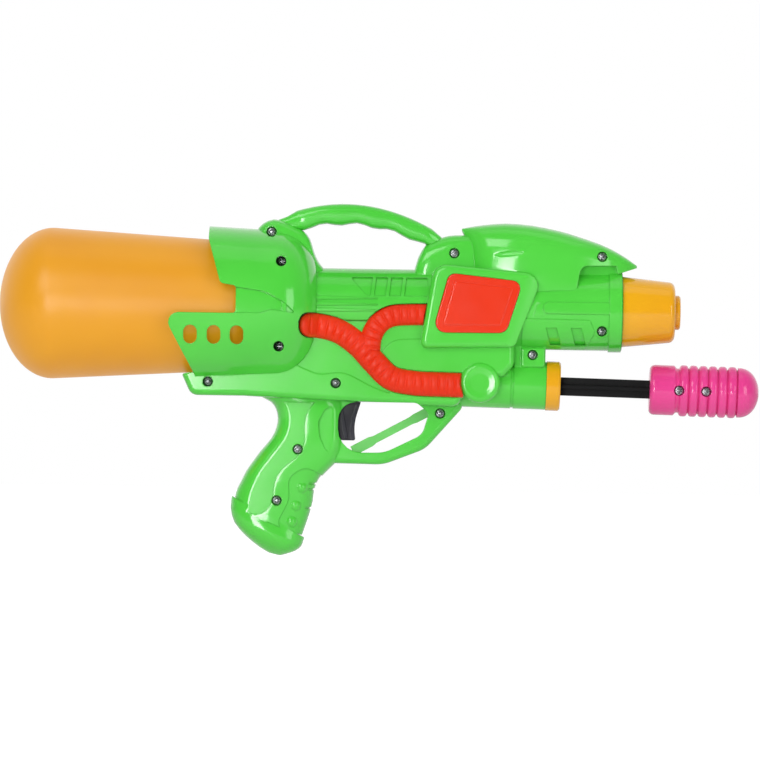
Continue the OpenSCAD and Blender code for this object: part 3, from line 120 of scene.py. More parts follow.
class NodeSheet:
    """A node tree being filled from left to right."""

    def __init__(self, tree: bpy.types.NodeTree) -> None:
        """Starts on an empty tree.

        Args:
            tree: the tree to fill, whose nodes are cleared.
        """
        self.tree = tree
        tree.nodes.clear()

    def add(self, kind: str, **settings: Any) -> bpy.types.Node:
        """Adds a node.

        Args:
            kind: the node's Blender type.
            **settings: attributes to set on it.

        Returns:
            The new node.
        """
        node = self.tree.nodes.new(kind)
        for name, value in settings.items():
            setattr(node, name, value)
        return node

    def link(self, source: bpy.types.NodeSocket, target: bpy.types.NodeSocket) -> None:
        """Joins an output to an input.

        Args:
            source: the output.
            target: the input.
        """
        self.tree.links.new(source, target)

    def noise(
        self, vector: bpy.types.NodeSocket, scale: float, detail: float
    ) -> bpy.types.NodeSocket:
        """Adds a noise texture.

        Args:
            vector: where it is sampled.
            scale: grains per metre.
            detail: octaves.

        Returns:
            Its value, from 0 to 1.
        """
        node = self.add("ShaderNodeTexNoise")
        node.inputs["Scale"].default_value = scale
        node.inputs["Detail"].default_value = detail
        self.link(vector, node.inputs["Vector"])
        return node.outputs["Fac"]

    def spread(
        self, value: bpy.types.NodeSocket, low: bpy.types.NodeSocket, high: bpy.types.NodeSocket
    ) -> bpy.types.NodeSocket:
        """Spreads a value from 0 to 1 over the range between two sockets.

        Args:
            value: the value.
            low: what 0 becomes.
            high: what 1 becomes.

        Returns:
            The spread value.
        """
        node = self.add("ShaderNodeMapRange")
        self.link(value, node.inputs["Value"])
        self.link(low, node.inputs["To Min"])
        self.link(high, node.inputs["To Max"])
        return node.outputs["Result"]

    def soft_step(
        self, value: bpy.types.NodeSocket, start: float, end: float, low: float, high: float
    ) -> bpy.types.NodeSocket:
        """Changes softly from one number to another while a value passes a range.

        Args:
            value: the value.
            start: where the change starts.
            end: where it ends.
            low: the number before it.
            high: the number after it.

        Returns:
            The changing number.
        """
        node = self.add("ShaderNodeMapRange", interpolation_type="SMOOTHSTEP")
        ends = (("From Min", start), ("From Max", end), ("To Min", low), ("To Max", high))
        for label, number in ends:
            node.inputs[label].default_value = number
        self.link(value, node.inputs["Value"])
        return node.outputs["Result"]


def new_group(
    name: str, inputs: Sequence[tuple[str, str]], outputs: Sequence[tuple[str, str]]
) -> bpy.types.NodeTree:
    """Makes an empty shader group with named sockets.

    Args:
        name: the group's name.
        inputs: name and socket type of each input.
        outputs: name and socket type of each output.

    Returns:
        The group's tree.
    """
    tree = bpy.data.node_groups.new(name, "ShaderNodeTree")
    for label, kind in inputs:
        tree.interface.new_socket(name=label, in_out="INPUT", socket_type=kind)
    for label, kind in outputs:
        tree.interface.new_socket(name=label, in_out="OUTPUT", socket_type=kind)
    return tree


@dataclass(frozen=True)
class MouldFlow:
    """The shader group that all finishes share.

    Attributes:
        cloud_scale: slow clouds of the deep tone per metre.
        cloud_detail: octaves of the clouds.
        cloud_from: noise value at which the deep tone starts.
        cloud_to: noise value at which it is full.
        gloss_scale: patches of changed gloss per metre.
        gloss_detail: octaves of those patches.
        grain_detail: octaves of the fine grain.
    """

    cloud_scale: float = 14.0
    cloud_detail: float = 2.0
    cloud_from: float = 0.35
    cloud_to: float = 0.7
    gloss_scale: float = 90.0
    gloss_detail: float = 3.0
    grain_detail: float = 2.0

    def build(self) -> bpy.types.NodeTree:
        """Mixes two tones in slow clouds and lets the gloss wander, as in moulded plastic.

        Returns:
            The group, with Color, Roughness and Height outputs.
        """
        tree = new_group(
            FLOW_GROUP,
            [
                ("Tone", "NodeSocketColor"),
                ("Deep Tone", "NodeSocketColor"),
                ("Low Roughness", "NodeSocketFloat"),
                ("High Roughness", "NodeSocketFloat"),
                ("Grain Scale", "NodeSocketFloat"),
            ],
            [
                ("Color", "NodeSocketColor"),
                ("Roughness", "NodeSocketFloat"),
                ("Height", "NodeSocketFloat"),
            ],
        )
        sheet = NodeSheet(tree)
        given = sheet.add("NodeGroupInput")
        result = sheet.add("NodeGroupOutput")
        place = sheet.add("ShaderNodeTexCoord").outputs["Object"]
        clouds = sheet.noise(place, self.cloud_scale, self.cloud_detail)
        share = sheet.soft_step(clouds, self.cloud_from, self.cloud_to, 0.0, 1.0)
        tones = sheet.add("ShaderNodeMix", data_type="RGBA")
        sheet.link(share, tones.inputs["Factor"])
        sheet.link(given.outputs["Tone"], tones.inputs["A"])
        sheet.link(given.outputs["Deep Tone"], tones.inputs["B"])
        sheet.link(tones.outputs["Result"], result.inputs["Color"])
        wander = sheet.noise(place, self.gloss_scale, self.gloss_detail)
        low, high = given.outputs["Low Roughness"], given.outputs["High Roughness"]
        sheet.link(sheet.spread(wander, low, high), result.inputs["Roughness"])
        grain = sheet.add("ShaderNodeTexNoise")
        grain.inputs["Detail"].default_value = self.grain_detail
        sheet.link(place, grain.inputs["Vector"])
        sheet.link(given.outputs["Grain Scale"], grain.inputs["Scale"])
        sheet.link(grain.outputs["Fac"], result.inputs["Height"])
        return tree


@dataclass(frozen=True)
class Finish:
    """One moulded or worked material.

    Attributes:
        name: its name.
        tone: main colour, linear.
        deep: the colour of its slow clouds, linear.
        grain: kind of surface.
        coat: weight of the clear gloss over it.
        metallic: 1 for metal.
        glow: share of light that wanders inside, for see-through plastic.
        painted_glow: painted glow, emission that stands in for light coming through the wall from
            inside, as a share of the colour.
        mirror: strength of the plain gloss.
        rounding: radius of the soft edge that catches light, in metres.
    """

    name: str
    tone: tuple[float, float, float]
    deep: tuple[float, float, float]
    grain: Grain
    coat: float = 0.0
    metallic: float = 0.0
    glow: float = 0.0
    painted_glow: float = 0.0
    mirror: float = 0.5
    rounding: float = 0.0004

    def material(self) -> bpy.types.Material:
        """Builds the material once and gives it back each time.

        Returns:
            The material.
        """
        made = bpy.data.materials.get(self.name)
        return made if made else self._build()

    def _build(self) -> bpy.types.Material:
        """Builds the material's nodes.

        Returns:
            The new material.
        """
        look = GRAIN_LOOKS[self.grain]
        material = bpy.data.materials.new(self.name)
        material.use_nodes = True
        sheet = NodeSheet(material.node_tree)
        output = sheet.add("ShaderNodeOutputMaterial")
        shader = sheet.add("ShaderNodeBsdfPrincipled")
        flow = sheet.add("ShaderNodeGroup", node_tree=bpy.data.node_groups[FLOW_GROUP])
        flow.inputs["Tone"].default_value = (*self.tone, 1.0)
        flow.inputs["Deep Tone"].default_value = (*self.deep, 1.0)
        flow.inputs["Low Roughness"].default_value = look.roughness - look.spread
        flow.inputs["High Roughness"].default_value = look.roughness + look.spread
        flow.inputs["Grain Scale"].default_value = look.scale
        edge = sheet.add("ShaderNodeBevel", samples=EDGE_SAMPLES)
        edge.inputs["Radius"].default_value = self.rounding
        bump = sheet.add("ShaderNodeBump")
        bump.inputs["Distance"].default_value = look.depth
        sheet.link(flow.outputs["Height"], bump.inputs["Height"])
        sheet.link(edge.outputs["Normal"], bump.inputs["Normal"])
        shader.inputs["Metallic"].default_value = self.metallic
        shader.inputs["Coat Weight"].default_value = self.coat
        shader.inputs["Coat Roughness"].default_value = COAT_ROUGHNESS
        shader.inputs["Subsurface Weight"].default_value = self.glow
        shader.inputs["Subsurface Radius"].default_value = GLOW_RADIUS
        shader.inputs["Subsurface Scale"].default_value = GLOW_SCALE
        shader.inputs["Specular IOR Level"].default_value = self.mirror
        # Painted glow: the colour is given off as emission, standing in for light that comes through
        # the wall
        if self.painted_glow > 0:
            shader.inputs["Emission Strength"].default_value = self.painted_glow
            sheet.link(flow.outputs["Color"], shader.inputs["Emission Color"])
        sheet.link(flow.outputs["Color"], shader.inputs["Base Color"])
        sheet.link(flow.outputs["Roughness"], shader.inputs["Roughness"])
        sheet.link(bump.outputs["Normal"], shader.inputs["Normal"])
        sheet.link(shader.outputs["BSDF"], output.inputs["Surface"])
        return material


GREEN = Finish(
    "green_gloss", (0.085, 0.66, 0.055), (0.07, 0.6, 0.045), Grain.POLISHED,
    coat=0.35, rounding=0.001,
)
BRACE_GREEN = Finish("green_satin", (0.13, 0.62, 0.1), (0.11, 0.56, 0.085), Grain.SATIN)
# The tank's emission is a painted glow that stands in for light seen through its see-through wall
TANK_ORANGE = Finish(
    "tank_orange", (0.57, 0.245, 0.006), (0.54, 0.22, 0.005), Grain.SATIN, painted_glow=0.44
)
YELLOW = Finish(
    "nozzle_yellow", (0.88, 0.43, 0.006), (0.84, 0.38, 0.005), Grain.POLISHED, coat=0.2
)
RED = Finish(
    "badge_red", (0.83, 0.035, 0.005), (0.76, 0.026, 0.004), Grain.POLISHED, coat=0.2, mirror=0.4
)
HOSE_RED = Finish(
    "hose_red", (0.83, 0.033, 0.004), (0.76, 0.025, 0.003), Grain.SATIN, mirror=0.28
)
PINK = Finish("handle_pink", (0.84, 0.06, 0.3), (0.78, 0.045, 0.26), Grain.POLISHED, coat=0.15)
BLACK = Finish(
    "rod_black", (0.004, 0.004, 0.0045), (0.006, 0.006, 0.0065), Grain.SATIN, mirror=0.12
)
SLATE = Finish(
    "trigger_slate", (0.02, 0.018, 0.03), (0.015, 0.014, 0.023), Grain.POLISHED, mirror=0.35
)
STEEL = Finish(
    "zinced_steel", (0.38, 0.39, 0.4), (0.28, 0.29, 0.3), Grain.METAL, metallic=1.0, rounding=0.0001
)
MILKY = Finish("milky_tube", (0.72, 0.75, 0.72), (0.66, 0.69, 0.66), Grain.SATIN, glow=0.2)
RUBBER = Finish("black_rubber", (0.012, 0.012, 0.013), (0.018, 0.018, 0.018), Grain.SOFT)


@dataclass
class Surface:
    """A mesh worked out as arrays.

    Attributes:
        points: one row of X, Y, Z per vertex, in metres by the time it becomes an object.
        faces: one row of vertex numbers per face.
    """

    points: np.ndarray
    faces: np.ndarray

    def joined(self, other: "Surface") -> "Surface":
        """Both surfaces in one.

        Args:
            other: the second surface.

        Returns:
            The joined surface.
        """
        return Surface(
            np.concatenate([self.points, other.points]),
            np.concatenate([self.faces, other.faces + len(self.points)]),
        )

    def welded(self) -> "Surface":
        """The same surface in triangles, without doubled corners and empty faces.

        Returns:
            The welded surface.
        """
        split = self.faces
        if split.shape[1] == 4:
            split = split[:, [0, 1, 2, 0, 2, 3]].reshape(-1, 3)
        keys = np.round(self.points / WELD).astype(np.int64)
        first, inverse = np.unique(keys, axis=0, return_index=True, return_inverse=True)[1:]
        faces = inverse.reshape(-1)[split]
        good = (faces != np.roll(faces, -1, axis=1)).all(axis=1)
        return Surface(self.points[first], faces[good])

    def outward(self) -> "Surface":
        """The same closed surface with its faces turned outwards, told by its volume's sign.

        Returns:
            The turned surface.
        """
        a, b, c = (self.points[self.faces[:, k]] - self.points.mean(axis=0) for k in range(3))
        return self if (a * np.cross(b, c)).sum() > 0 else Surface(self.points, self.faces[:, ::-1])

    def to_object(self, name: str, finish: Finish, crease: float) -> bpy.types.Object:
        """Puts the surface into a new object in the scene.

        Args:
            name: the object's name.
            finish: its material.
            crease: angle in degrees past which an edge stays sharp.

        Returns:
            The object, at the origin.
        """
        mesh = bpy.data.meshes.new(name)
        count, corners = self.faces.shape
        mesh.vertices.add(len(self.points))
        mesh.vertices.foreach_set("co", self.points.astype(np.float32).ravel())
        mesh.loops.add(count * corners)
        mesh.loops.foreach_set("vertex_index", self.faces.astype(np.int32).ravel())
        mesh.polygons.add(count)
        starts = np.arange(0, count * corners, corners, dtype=np.int32)
        mesh.polygons.foreach_set("loop_start", starts)
        mesh.update(calc_edges=True)
        mesh.polygons.foreach_set("use_smooth", np.ones(count, dtype=bool))
        mesh.normals_split_custom_set(self.corner_normals(crease))
        mesh.materials.append(finish.material())
        made = bpy.data.objects.new(name, mesh)
        bpy.context.scene.collection.objects.link(made)
        return made

    def face_normals(self) -> tuple[np.ndarray, np.ndarray]:
        """Unit normal and area of each face, from the cross product of its edges or diagonals.

        Returns:
            The normals and the areas.
        """
        corner = self.points[self.faces]
        if self.faces.shape[1] == 4:
            cross = np.cross(corner[:, 2] - corner[:, 0], corner[:, 3] - corner[:, 1])
        else:
            cross = np.cross(corner[:, 1] - corner[:, 0], corner[:, 2] - corner[:, 0])
        length = np.linalg.norm(cross, axis=1)
        return cross / np.maximum(length, NO_AREA)[:, None], length / 2

    def corner_normals(self, crease: float) -> np.ndarray:
        """Normal of each face corner: the mean of the faces there that turn less than the crease.

        Each face weighs as much as the whole flat patch that it lies in, so flat walls stay flat
        and the roundings beside them take up the turn.

        Args:
            crease: the angle in degrees.

        Returns:
            One unit row per face corner.
        """
        normal, area = self.face_normals()
        middle = self.points[self.faces].mean(axis=1)
        offset = np.round((normal * middle).sum(axis=1) / PLANE_STEP)
        plane = np.column_stack([np.round(normal, NORMAL_DIGITS), offset])
        patch = np.unique(plane, axis=0, return_inverse=True)[1].reshape(-1)
        weight = np.bincount(patch, weights=area)[patch]
        corners = self.faces.shape[1]
        vertex = self.faces.ravel()
        face = np.repeat(np.arange(len(self.faces)), corners)
        order = np.argsort(vertex, kind="stable")
        held = vertex[order]
        start = np.searchsorted(held, held, side="left")
        count = np.searchsorted(held, held, side="right") - start
        place = np.arange(len(held)) - start
        own = face[order]
        limit = math.cos(math.radians(crease))
        total = np.zeros((len(held), 3))
        for step in range(int(count.max())):
            partner = own[start + (place + step) % count]
            near = (normal[own] * normal[partner]).sum(axis=1) > limit
            take = near & (step < count)
            total += np.where(take[:, None], normal[partner] * weight[partner][:, None], 0.0)
        length = np.linalg.norm(total, axis=1)[:, None]
        total = np.where(length > NO_WEIGHT, total / np.maximum(length, NO_WEIGHT), normal[own])
        result = np.empty_like(total)
        result[order] = total
        return result


def grid_surface(rows: np.ndarray, closed: bool) -> Surface:
    """Makes quads over a grid of points.

    Args:
        rows: points of shape (rows, columns, 3).
        closed: whether the last column joins the first.

    Returns:
        The surface, facing the way that row cross column gives.
    """
    high, wide, _ = rows.shape
    index = np.arange(high * wide).reshape(high, wide)
    right = np.roll(index, -1, axis=1) if closed else index[:, 1:]
    left = index if closed else index[:, :-1]
    faces = np.stack([left[:-1], right[:-1], right[1:], left[1:]], axis=-1).reshape(-1, 4)
    return Surface(rows.reshape(-1, 3), faces)


def capped(rows: np.ndarray) -> np.ndarray:
    """Adds a row at each end that is drawn together in its middle.

    Args:
        rows: points of a run, as rows of closed sections.

    Returns:
        The rows with both ends closed.
    """
    ends = [np.broadcast_to(rows[i].mean(axis=0), rows[:1].shape) for i in (0, -1)]
    return np.concatenate([ends[0], rows, ends[1]])


def node_surface(node: str) -> Surface:
    """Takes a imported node's loose triangles and joins their shared corners.

    Args:
        node: the node's name.

    Returns:
        The joined triangles.
    """
    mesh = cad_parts[node].data
    points = np.empty(len(mesh.vertices) * 3, np.float32)
    mesh.vertices.foreach_get("co", points)
    corner = np.empty(len(mesh.loops), np.int32)
    mesh.loops.foreach_get("vertex_index", corner)
    return Surface(points.reshape(-1, 3).astype(float), corner.reshape(-1, 3)).welded()


def smooth_path(stops: np.ndarray, steps: int) -> np.ndarray:
    """Curve through the stops: on each span the cubic whose ends lean towards the next stops.

    Args:
        stops: points, one row each.
        steps: points on each span.

    Returns:
        The curve's points.
    """
    padded = np.concatenate([stops[:1], stops, stops[-1:]])
    a, b, c, d = padded[:-3], padded[1:-2], padded[2:-1], padded[3:]
    t = (np.arange(steps) / steps)[None, :, None]
    a, b, c, d = (p[:, None, :] for p in (a, b, c, d))
    square, cube = 2 * a - 5 * b + 4 * c - d, 3 * b - a - 3 * c + d
    curve = 0.5 * (2 * b + (c - a) * t + square * t**2 + cube * t**3)
    return np.concatenate([curve.reshape(-1, stops.shape[1]), stops[-1:]])


def settle(made: bpy.types.Object, nodes: Sequence[str], body: str) -> bpy.types.Object:
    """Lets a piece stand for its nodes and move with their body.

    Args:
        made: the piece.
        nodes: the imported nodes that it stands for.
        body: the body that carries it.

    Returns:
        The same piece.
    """
    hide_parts(*nodes)
    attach(made, body)
    log.info("%s stands for %s on %s", made.name, ", ".join(nodes), body)
    return made


@dataclass
class Skin:
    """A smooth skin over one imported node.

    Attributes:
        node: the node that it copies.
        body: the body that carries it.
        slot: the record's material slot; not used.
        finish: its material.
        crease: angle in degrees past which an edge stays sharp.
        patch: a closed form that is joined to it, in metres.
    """

    node: str
    body: str
    slot: str
    finish: Finish
    crease: float = 36.0
    patch: Surface | None = None

    def build(self) -> bpy.types.Object:
        """Makes the skin and sets it in place.

        Returns:
            The skin's object.
        """
        whole = node_surface(self.node)
        if self.patch is not None:
            whole = whole.joined(self.patch)
        made = whole.to_object(self.node + "_skin", self.finish, self.crease)
        return settle(made, [self.node], self.body)


@dataclass(frozen=True)
class HousingWeb:
    """The strip of the pump housing's wall beside the boss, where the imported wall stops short.

    Lengths are millimetres of the body's own frame.

    Attributes:
        back: where it starts along the body.
        front: where it ends.
        axis_z: height of the pump's axis there.
        outer: radius of its outer face, just inside the housing's.
        wall: its thickness.
        low: angle below the level at which it starts, in degrees.
        high: angle at which it ends.
        rows: sections along it.
    """

    back: float = 85.0
    front: float = 91.5
    axis_z: float = -43.98
    outer: float = 14.38
    wall: float = 1.2
    low: float = 24.0
    high: float = 50.0
    rows: int = 13

    def form(self, sign: int) -> Surface:
        """A flat bar's section carried round the pump's axis.

        At angle a the section's point of radius r lies at y = r cos a and z = axis - r sin a.

        Args:
            sign: 1 for the left side, -1 for the right one.

        Returns:
            The strip, in metres of the row's frame.
        """
        angle = np.radians(np.linspace(self.low, self.high, self.rows))[:, None]
        inner = self.outer - self.wall
        reach = np.array([self.outer, self.outer, inner, inner])
        along = np.array([self.back, self.front, self.front, self.back]) - BODY_LEN
        y, z = sign * np.cos(angle) * reach, self.axis_z - np.sin(angle) * reach
        rows = np.stack([np.broadcast_to(along, y.shape), y, z], axis=-1) * MM
        return grid_surface(capped(rows), True).welded().outward()


@dataclass
class Assembly:
    """Skins and plain nodes of one sub-assembly.

    Attributes:
        skins: nodes that show and get a smooth skin.
        inner: inner nodes that stay as they are, with their finish.
    """

    skins: list[Skin] = field(default_factory=list)
    inner: dict[str, Finish] = field(default_factory=dict)

    def build(self) -> None:
        """Builds the skins."""
        for skin in self.skins:
            skin.build()

    def dress(self) -> None:
        """Gives each inner node its finish."""
        for name, finish in self.inner.items():
            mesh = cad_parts[name].data
            mesh.materials.clear()
            mesh.materials.append(finish.material())
            log.info("%s keeps its solid", name)


@dataclass
class BodyShells(Assembly):
    """The two moulded halves, the carry handle, the guard's brace and the badge plates."""

    def __post_init__(self) -> None:
        """Lists the nodes."""
        for name, sign in (("right_shell", -1), ("left_shell", 1)):
            web = HousingWeb().form(sign)
            self.skins.append(Skin(name, "body", "green_plastic", GREEN, patch=web))
        self.skins.append(Skin("carry_handle", "body", "green_plastic", GREEN, SOFT_CREASE))
        self.skins.append(Skin("guard_brace", "body", "green_plastic", BRACE_GREEN))
        for name in ("right_panel", "left_panel"):
            self.skins.append(Skin(name, "body", "red_plastic", RED))


@dataclass
class WaterTank(Assembly):
    """The tank, its socket and the tubes."""

    def __post_init__(self) -> None:
        """Lists the nodes."""
        self.skins.append(Skin("tank", "tank", "tank_plastic", TANK_ORANGE))
        self.skins.append(Skin("tank_socket", "body", "milky_plastic", MILKY))
        self.skins.append(Skin("dip_tube", "body", "milky_plastic", MILKY))
        self.inner = {
            "tank_seal": RUBBER,
            "feed_tube": MILKY,
            "outlet_tube": MILKY,
            "air_tube": MILKY,
        }


@dataclass
class TriggerValve(Assembly):
    """The trigger, its pin and the valve behind it.

    Attributes:
        travel: the plunger's way at its joint's limit, in metres.
    """

    travel: float = 0.00345

    def __post_init__(self) -> None:
        """Lists the nodes."""
        self.skins.append(Skin("trigger", "trigger", "slate_plastic", SLATE))
        self.inner = {
            "trigger_pin": STEEL,
            "valve_body": MILKY,
            "valve_gland": BLACK,
            "valve_plunger": MILKY,
            "plunger_ring": RUBBER,
        }

    def build(self) -> None:
        """Builds the skins, and the spring that the plunger squeezes against its seat."""
        super().build()
        spring = Skin("valve_spring", "body", "screw_steel", STEEL).build()
        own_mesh(spring)


@dataclass
class AirPump(Assembly):
    """The pump's collar, rod and handle, and the cylinder inside."""

    def __post_init__(self) -> None:
        """Lists the nodes."""
        self.skins.append(Skin("pump_collar", "body", "yellow_plastic", YELLOW))
        self.skins.append(Skin("pump_rod", "pump", "black_plastic", BLACK))
        for name in ("pump_handle_right", "pump_handle_left"):
            self.skins.append(Skin(name, "pump", "pink_plastic", PINK, SOFT_CREASE))
        self.inner = {
            "pump_cylinder": MILKY,
            "pump_end_cap": MILKY,
            "check_ball": STEEL,
            "pump_piston": MILKY,
            "piston_ring": RUBBER,
        }


@dataclass
class Nozzle(Assembly):
    """The nozzle's cone and its front disc."""

    def __post_init__(self) -> None:
        """Lists the nodes."""
        for name in ("nozzle_cone", "nozzle_tip"):
            self.skins.append(Skin(name, "body", "yellow_plastic", YELLOW))


@dataclass
class HoseTrims:
    """The ribbed mock hoses on both sides, in millimetres of the body's own frame.

    Attributes:
        seat: distance of the hose's flat back from the middle plane.
        radius: radius of the main run.
        branch_radius: radius of the branch.
        flat: height of the hose as a share of its radius.
        climb: how much higher the main run's end stands, up the cup's front.
        climb_len: length of that climb.
        groove: depth of the grooves between ribs.
        narrow: power that makes the grooves narrower than the ribs.
        pitch: spacing of the ribs.
        round_len: length of the main run's plain rounded end.
        round_share: how much of the square of its width that end loses at its tip.
        notch: extra depth of the groove behind that end.
        notch_len: length over which the extra depth fades.
        boss: centre and cut radius of the round boss that ends the main run.
        frame_edge: two points of the badge frame's edge that ends the branch.
        frame_low: height above which the frame, and below which the boss, ends a run.
        air: gap to the boss and the frame.
        span_steps: sections between two stops of a path.
        arch_points: points over the arch.
        crease: angle in degrees past which an edge stays sharp.
        main: stops of the main run, as X and Z.
        branch: stops of the branch.
    """

    seat: float = 21.302
    radius: float = 7.3
    branch_radius: float = 6.4
    flat: float = 0.72
    climb: float = 11.0
    climb_len: float = 13.0
    groove: float = 1.4
    narrow: int = 8
    pitch: float = 4.9
    round_len: float = 6.6
    round_share: float = 0.94
    notch: float = 0.6
    notch_len: float = 0.45
    boss: tuple[float, float, float] = (97.8, -43.7, 12.0)
    frame_edge: tuple[float, float, float, float] = (61.4, -23.7, 69.4, 26.9)
    frame_low: float = -20.0
    air: float = 0.3
    span_steps: int = 26
    arch_points: int = 25
    crease: float = 60.0
    main: tuple[tuple[float, float], ...] = (
        (-10.5, -11.0), (1.7, -11.4), (13.7, -14.7), (25.0, -22.5), (34.5, -32.5),
        (44.6, -41.7), (58.0, -44.6), (73.0, -45.2), (88.0, -45.5),
    )
    branch: tuple[tuple[float, float], ...] = (
        (31.8, -25.0), (32.6, -17.6), (36.6, -9.9), (44.6, -4.9), (57.0, -3.8), (70.0, -3.7),
    )

    def run(self, stops: Sequence[tuple[float, float]], radius: float, rounded: bool) -> Surface:
        """One ribbed run: a flat arch carried along the path, whose crown swells between grooves.

        Half its width is R, and its height at length s is a fixed share of
        R - groove * |cos(pi (s - end) / pitch)|^narrow. A blunt end is a quarter round in the plane
        of the path, has a deeper groove behind it, and its arch stands on upright walls that climb
        towards its tip along a smooth step.

        Args:
            stops: the path's points.
            radius: the largest radius.
            rounded: whether the first end is blunt.

        Returns:
            The run's surface on the left side, in millimetres.
        """
        path = smooth_path(np.array(stops), self.span_steps)
        step = np.gradient(path, axis=0)
        spans = np.linalg.norm(np.diff(path, axis=0), axis=1)
        length = np.concatenate([[0], np.cumsum(spans)])
        way = step / np.linalg.norm(step, axis=1)[:, None]
        side = np.column_stack([-way[:, 1], way[:, 0]])
        wide = np.full_like(length, radius)
        past = length - self.round_len
        level = radius - self.groove * np.abs(np.cos(np.pi * past / self.pitch)) ** self.narrow
        base = np.zeros_like(level)
        if rounded:
            left = 1 - np.clip(length / self.round_len, 0.0, 1.0)
            deep = self.notch * np.exp(-((past / self.notch_len) ** 2))
            up = 1 - np.clip(length / self.climb_len, 0.0, 1.0)
            base = self.climb * up * up * (3 - 2 * up)
            wide = radius * np.sqrt(1 - self.round_share * left**2)
            level = np.where(left > 0, wide, level) - deep
        height = level * self.flat
        angle = np.concatenate([[0.0], np.linspace(0, np.pi, self.arch_points), [np.pi]])
        foot = np.ones_like(angle)
        foot[[0, -1]] = 0.0
        across = wide[:, None] * np.cos(angle)
        out = self.seat + base[:, None] * foot + height[:, None] * np.sin(angle)
        x = path[:, :1] + side[:, :1] * across
        z = path[:, 1:] + side[:, 1:] * across
        seat = np.full(len(path), self.seat)
        back = np.stack([path[:, 0], seat, path[:, 1]], axis=-1)[:, None]
        rows = np.concatenate([np.stack([x, out, z], axis=-1), back], axis=1)
        return grid_surface(capped(self.trimmed(rows)), True).welded().outward()

    def trimmed(self, rows: np.ndarray) -> np.ndarray:
        """Holds the points behind the boss's round and the frame's slanted edge.

        Args:
            rows: the run's points.

        Returns:
            The rows up to the first that lies wholly past those edges, with X no further than them.
        """
        x0, z0, x1, z1 = self.frame_edge
        lean = (x1 - x0) / (z1 - z0)
        edge = x0 + (rows[..., 2] - z0) * lean - self.air * math.hypot(1, lean)
        in_frame = rows[..., 2] > self.frame_low
        cx, cz, cut = self.boss
        reach = np.sqrt(np.maximum((cut + self.air) ** 2 - (rows[..., 2] - cz) ** 2, 0.0))
        limit = np.where(in_frame, edge, cx - reach)
        held = rows.copy()
        held[..., 0] = np.minimum(rows[..., 0], limit)
        free = np.flatnonzero((rows[..., 0] < limit).any(axis=1))
        return held[: free[-1] + 2]

    def build(self) -> None:
        """Makes the two trims, one mirrored from the other."""
        branch = self.run(self.branch, self.branch_radius, False)
        left = self.run(self.main, self.radius, True).joined(branch)
        points = (left.points - [BODY_LEN, 0, 0]) * MM
        for name, sign in (("left_hose_trim", 1), ("right_hose_trim", -1)):
            faces = left.faces if sign > 0 else left.faces[:, ::-1]
            trim = Surface(points * [1, sign, 1], faces)
            made = trim.to_object(name + "_ribbed", HOSE_RED, self.crease)
            settle(made, [name], "body")


@dataclass
class Screws:
    """Cross-head screws of one node, in millimetres.

    Attributes:
        node: the node that they stand for.
        body: the body that carries them.
        spots: X and Z in the row's frame, the seat's distance from the middle plane and the depth
            of the shank's end past that plane.
        head: radius of the head.
        height: height of the head.
        shank: radius of the shank.
        rim: radius of the head's rounded edge.
        dome: how much the top falls towards that edge.
        bar_half: half the width and half the length of the cross's bars.
        slope: width of the cross's slanted walls.
        press: depth of the cross.
        turn: angle of the mesh's first point, in radians.
        rings: rings of points on the top.
        rim_rings: rings round the edge.
        sides: points on a ring.
        crease: angle in degrees past which an edge stays sharp.
    """

    node: str
    body: str
    spots: tuple[tuple[float, float, float, float], ...]
    head: float = 2.8
    height: float = 1.9
    shank: float = 1.45
    rim: float = 0.9
    dome: float = 0.25
    bar_half: tuple[float, float] = (0.42, 1.55)
    slope: float = 0.36
    press: float = 1.1
    turn: float = 0.35
    rings: int = 19
    rim_rings: int = 7
    sides: int = 64
    crease: float = 40.0

    def form(self, seat: float, tip: float) -> Surface:
        """One screw about its own axis: a turned profile whose domed top is pressed in by a cross.

        The cross's depth is a straight ramp of the distance to the nearer of two crossed bars.

        Args:
            seat: distance of the head's underside from the middle plane.
            tip: depth of the shank's end past the middle plane.

        Returns:
            The screw, with its axis along Y and its head towards -Y.
        """
        top = np.linspace(0, 1, self.rings)
        rim = np.linspace(0, np.pi / 2, self.rim_rings)[::-1]
        inner = self.head - self.rim
        edge = self.height - self.dome - self.rim
        end = -seat - tip
        radius = np.concatenate([
            top * inner, inner + self.rim * np.cos(rim), [self.head, self.shank, self.shank, 0.0],
        ])
        level = np.concatenate([
            self.height - self.dome * top**2, edge + self.rim * np.sin(rim), [0.0, 0.0, end, end],
        ])
        angle = np.linspace(0, 2 * np.pi, self.sides, endpoint=False) + self.turn
        across, along = radius[:, None] * np.cos(angle), radius[:, None] * np.sin(angle)
        thin, long = self.bar_half
        bar = np.minimum(
            np.maximum(np.abs(across) - thin, np.abs(along) - long),
            np.maximum(np.abs(along) - thin, np.abs(across) - long),
        )
        press = self.press * np.clip(0.5 - bar / self.slope, 0, 1)
        depth = np.where(np.arange(len(radius))[:, None] < len(top), press, 0.0)
        rows = np.stack([across, -seat - level[:, None] + depth, along], axis=-1)
        return grid_surface(rows, True).welded().outward()

    def placed(self, spot: tuple[float, float, float, float]) -> Surface:
        """One screw at its spot.

        Args:
            spot: X, Z, seat and tip, as in spots.

        Returns:
            The screw, in metres of the row's frame.
        """
        x, z, seat, tip = spot
        one = self.form(seat, tip)
        return Surface((one.points + [x, 0, z]) * MM, one.faces)

    def build(self) -> None:
        """Makes all the screws as one piece."""
        whole = reduce(Surface.joined, map(self.placed, self.spots))
        made = whole.to_object(self.node + "_cross", STEEL, self.crease)
        settle(made, [self.node], self.body)


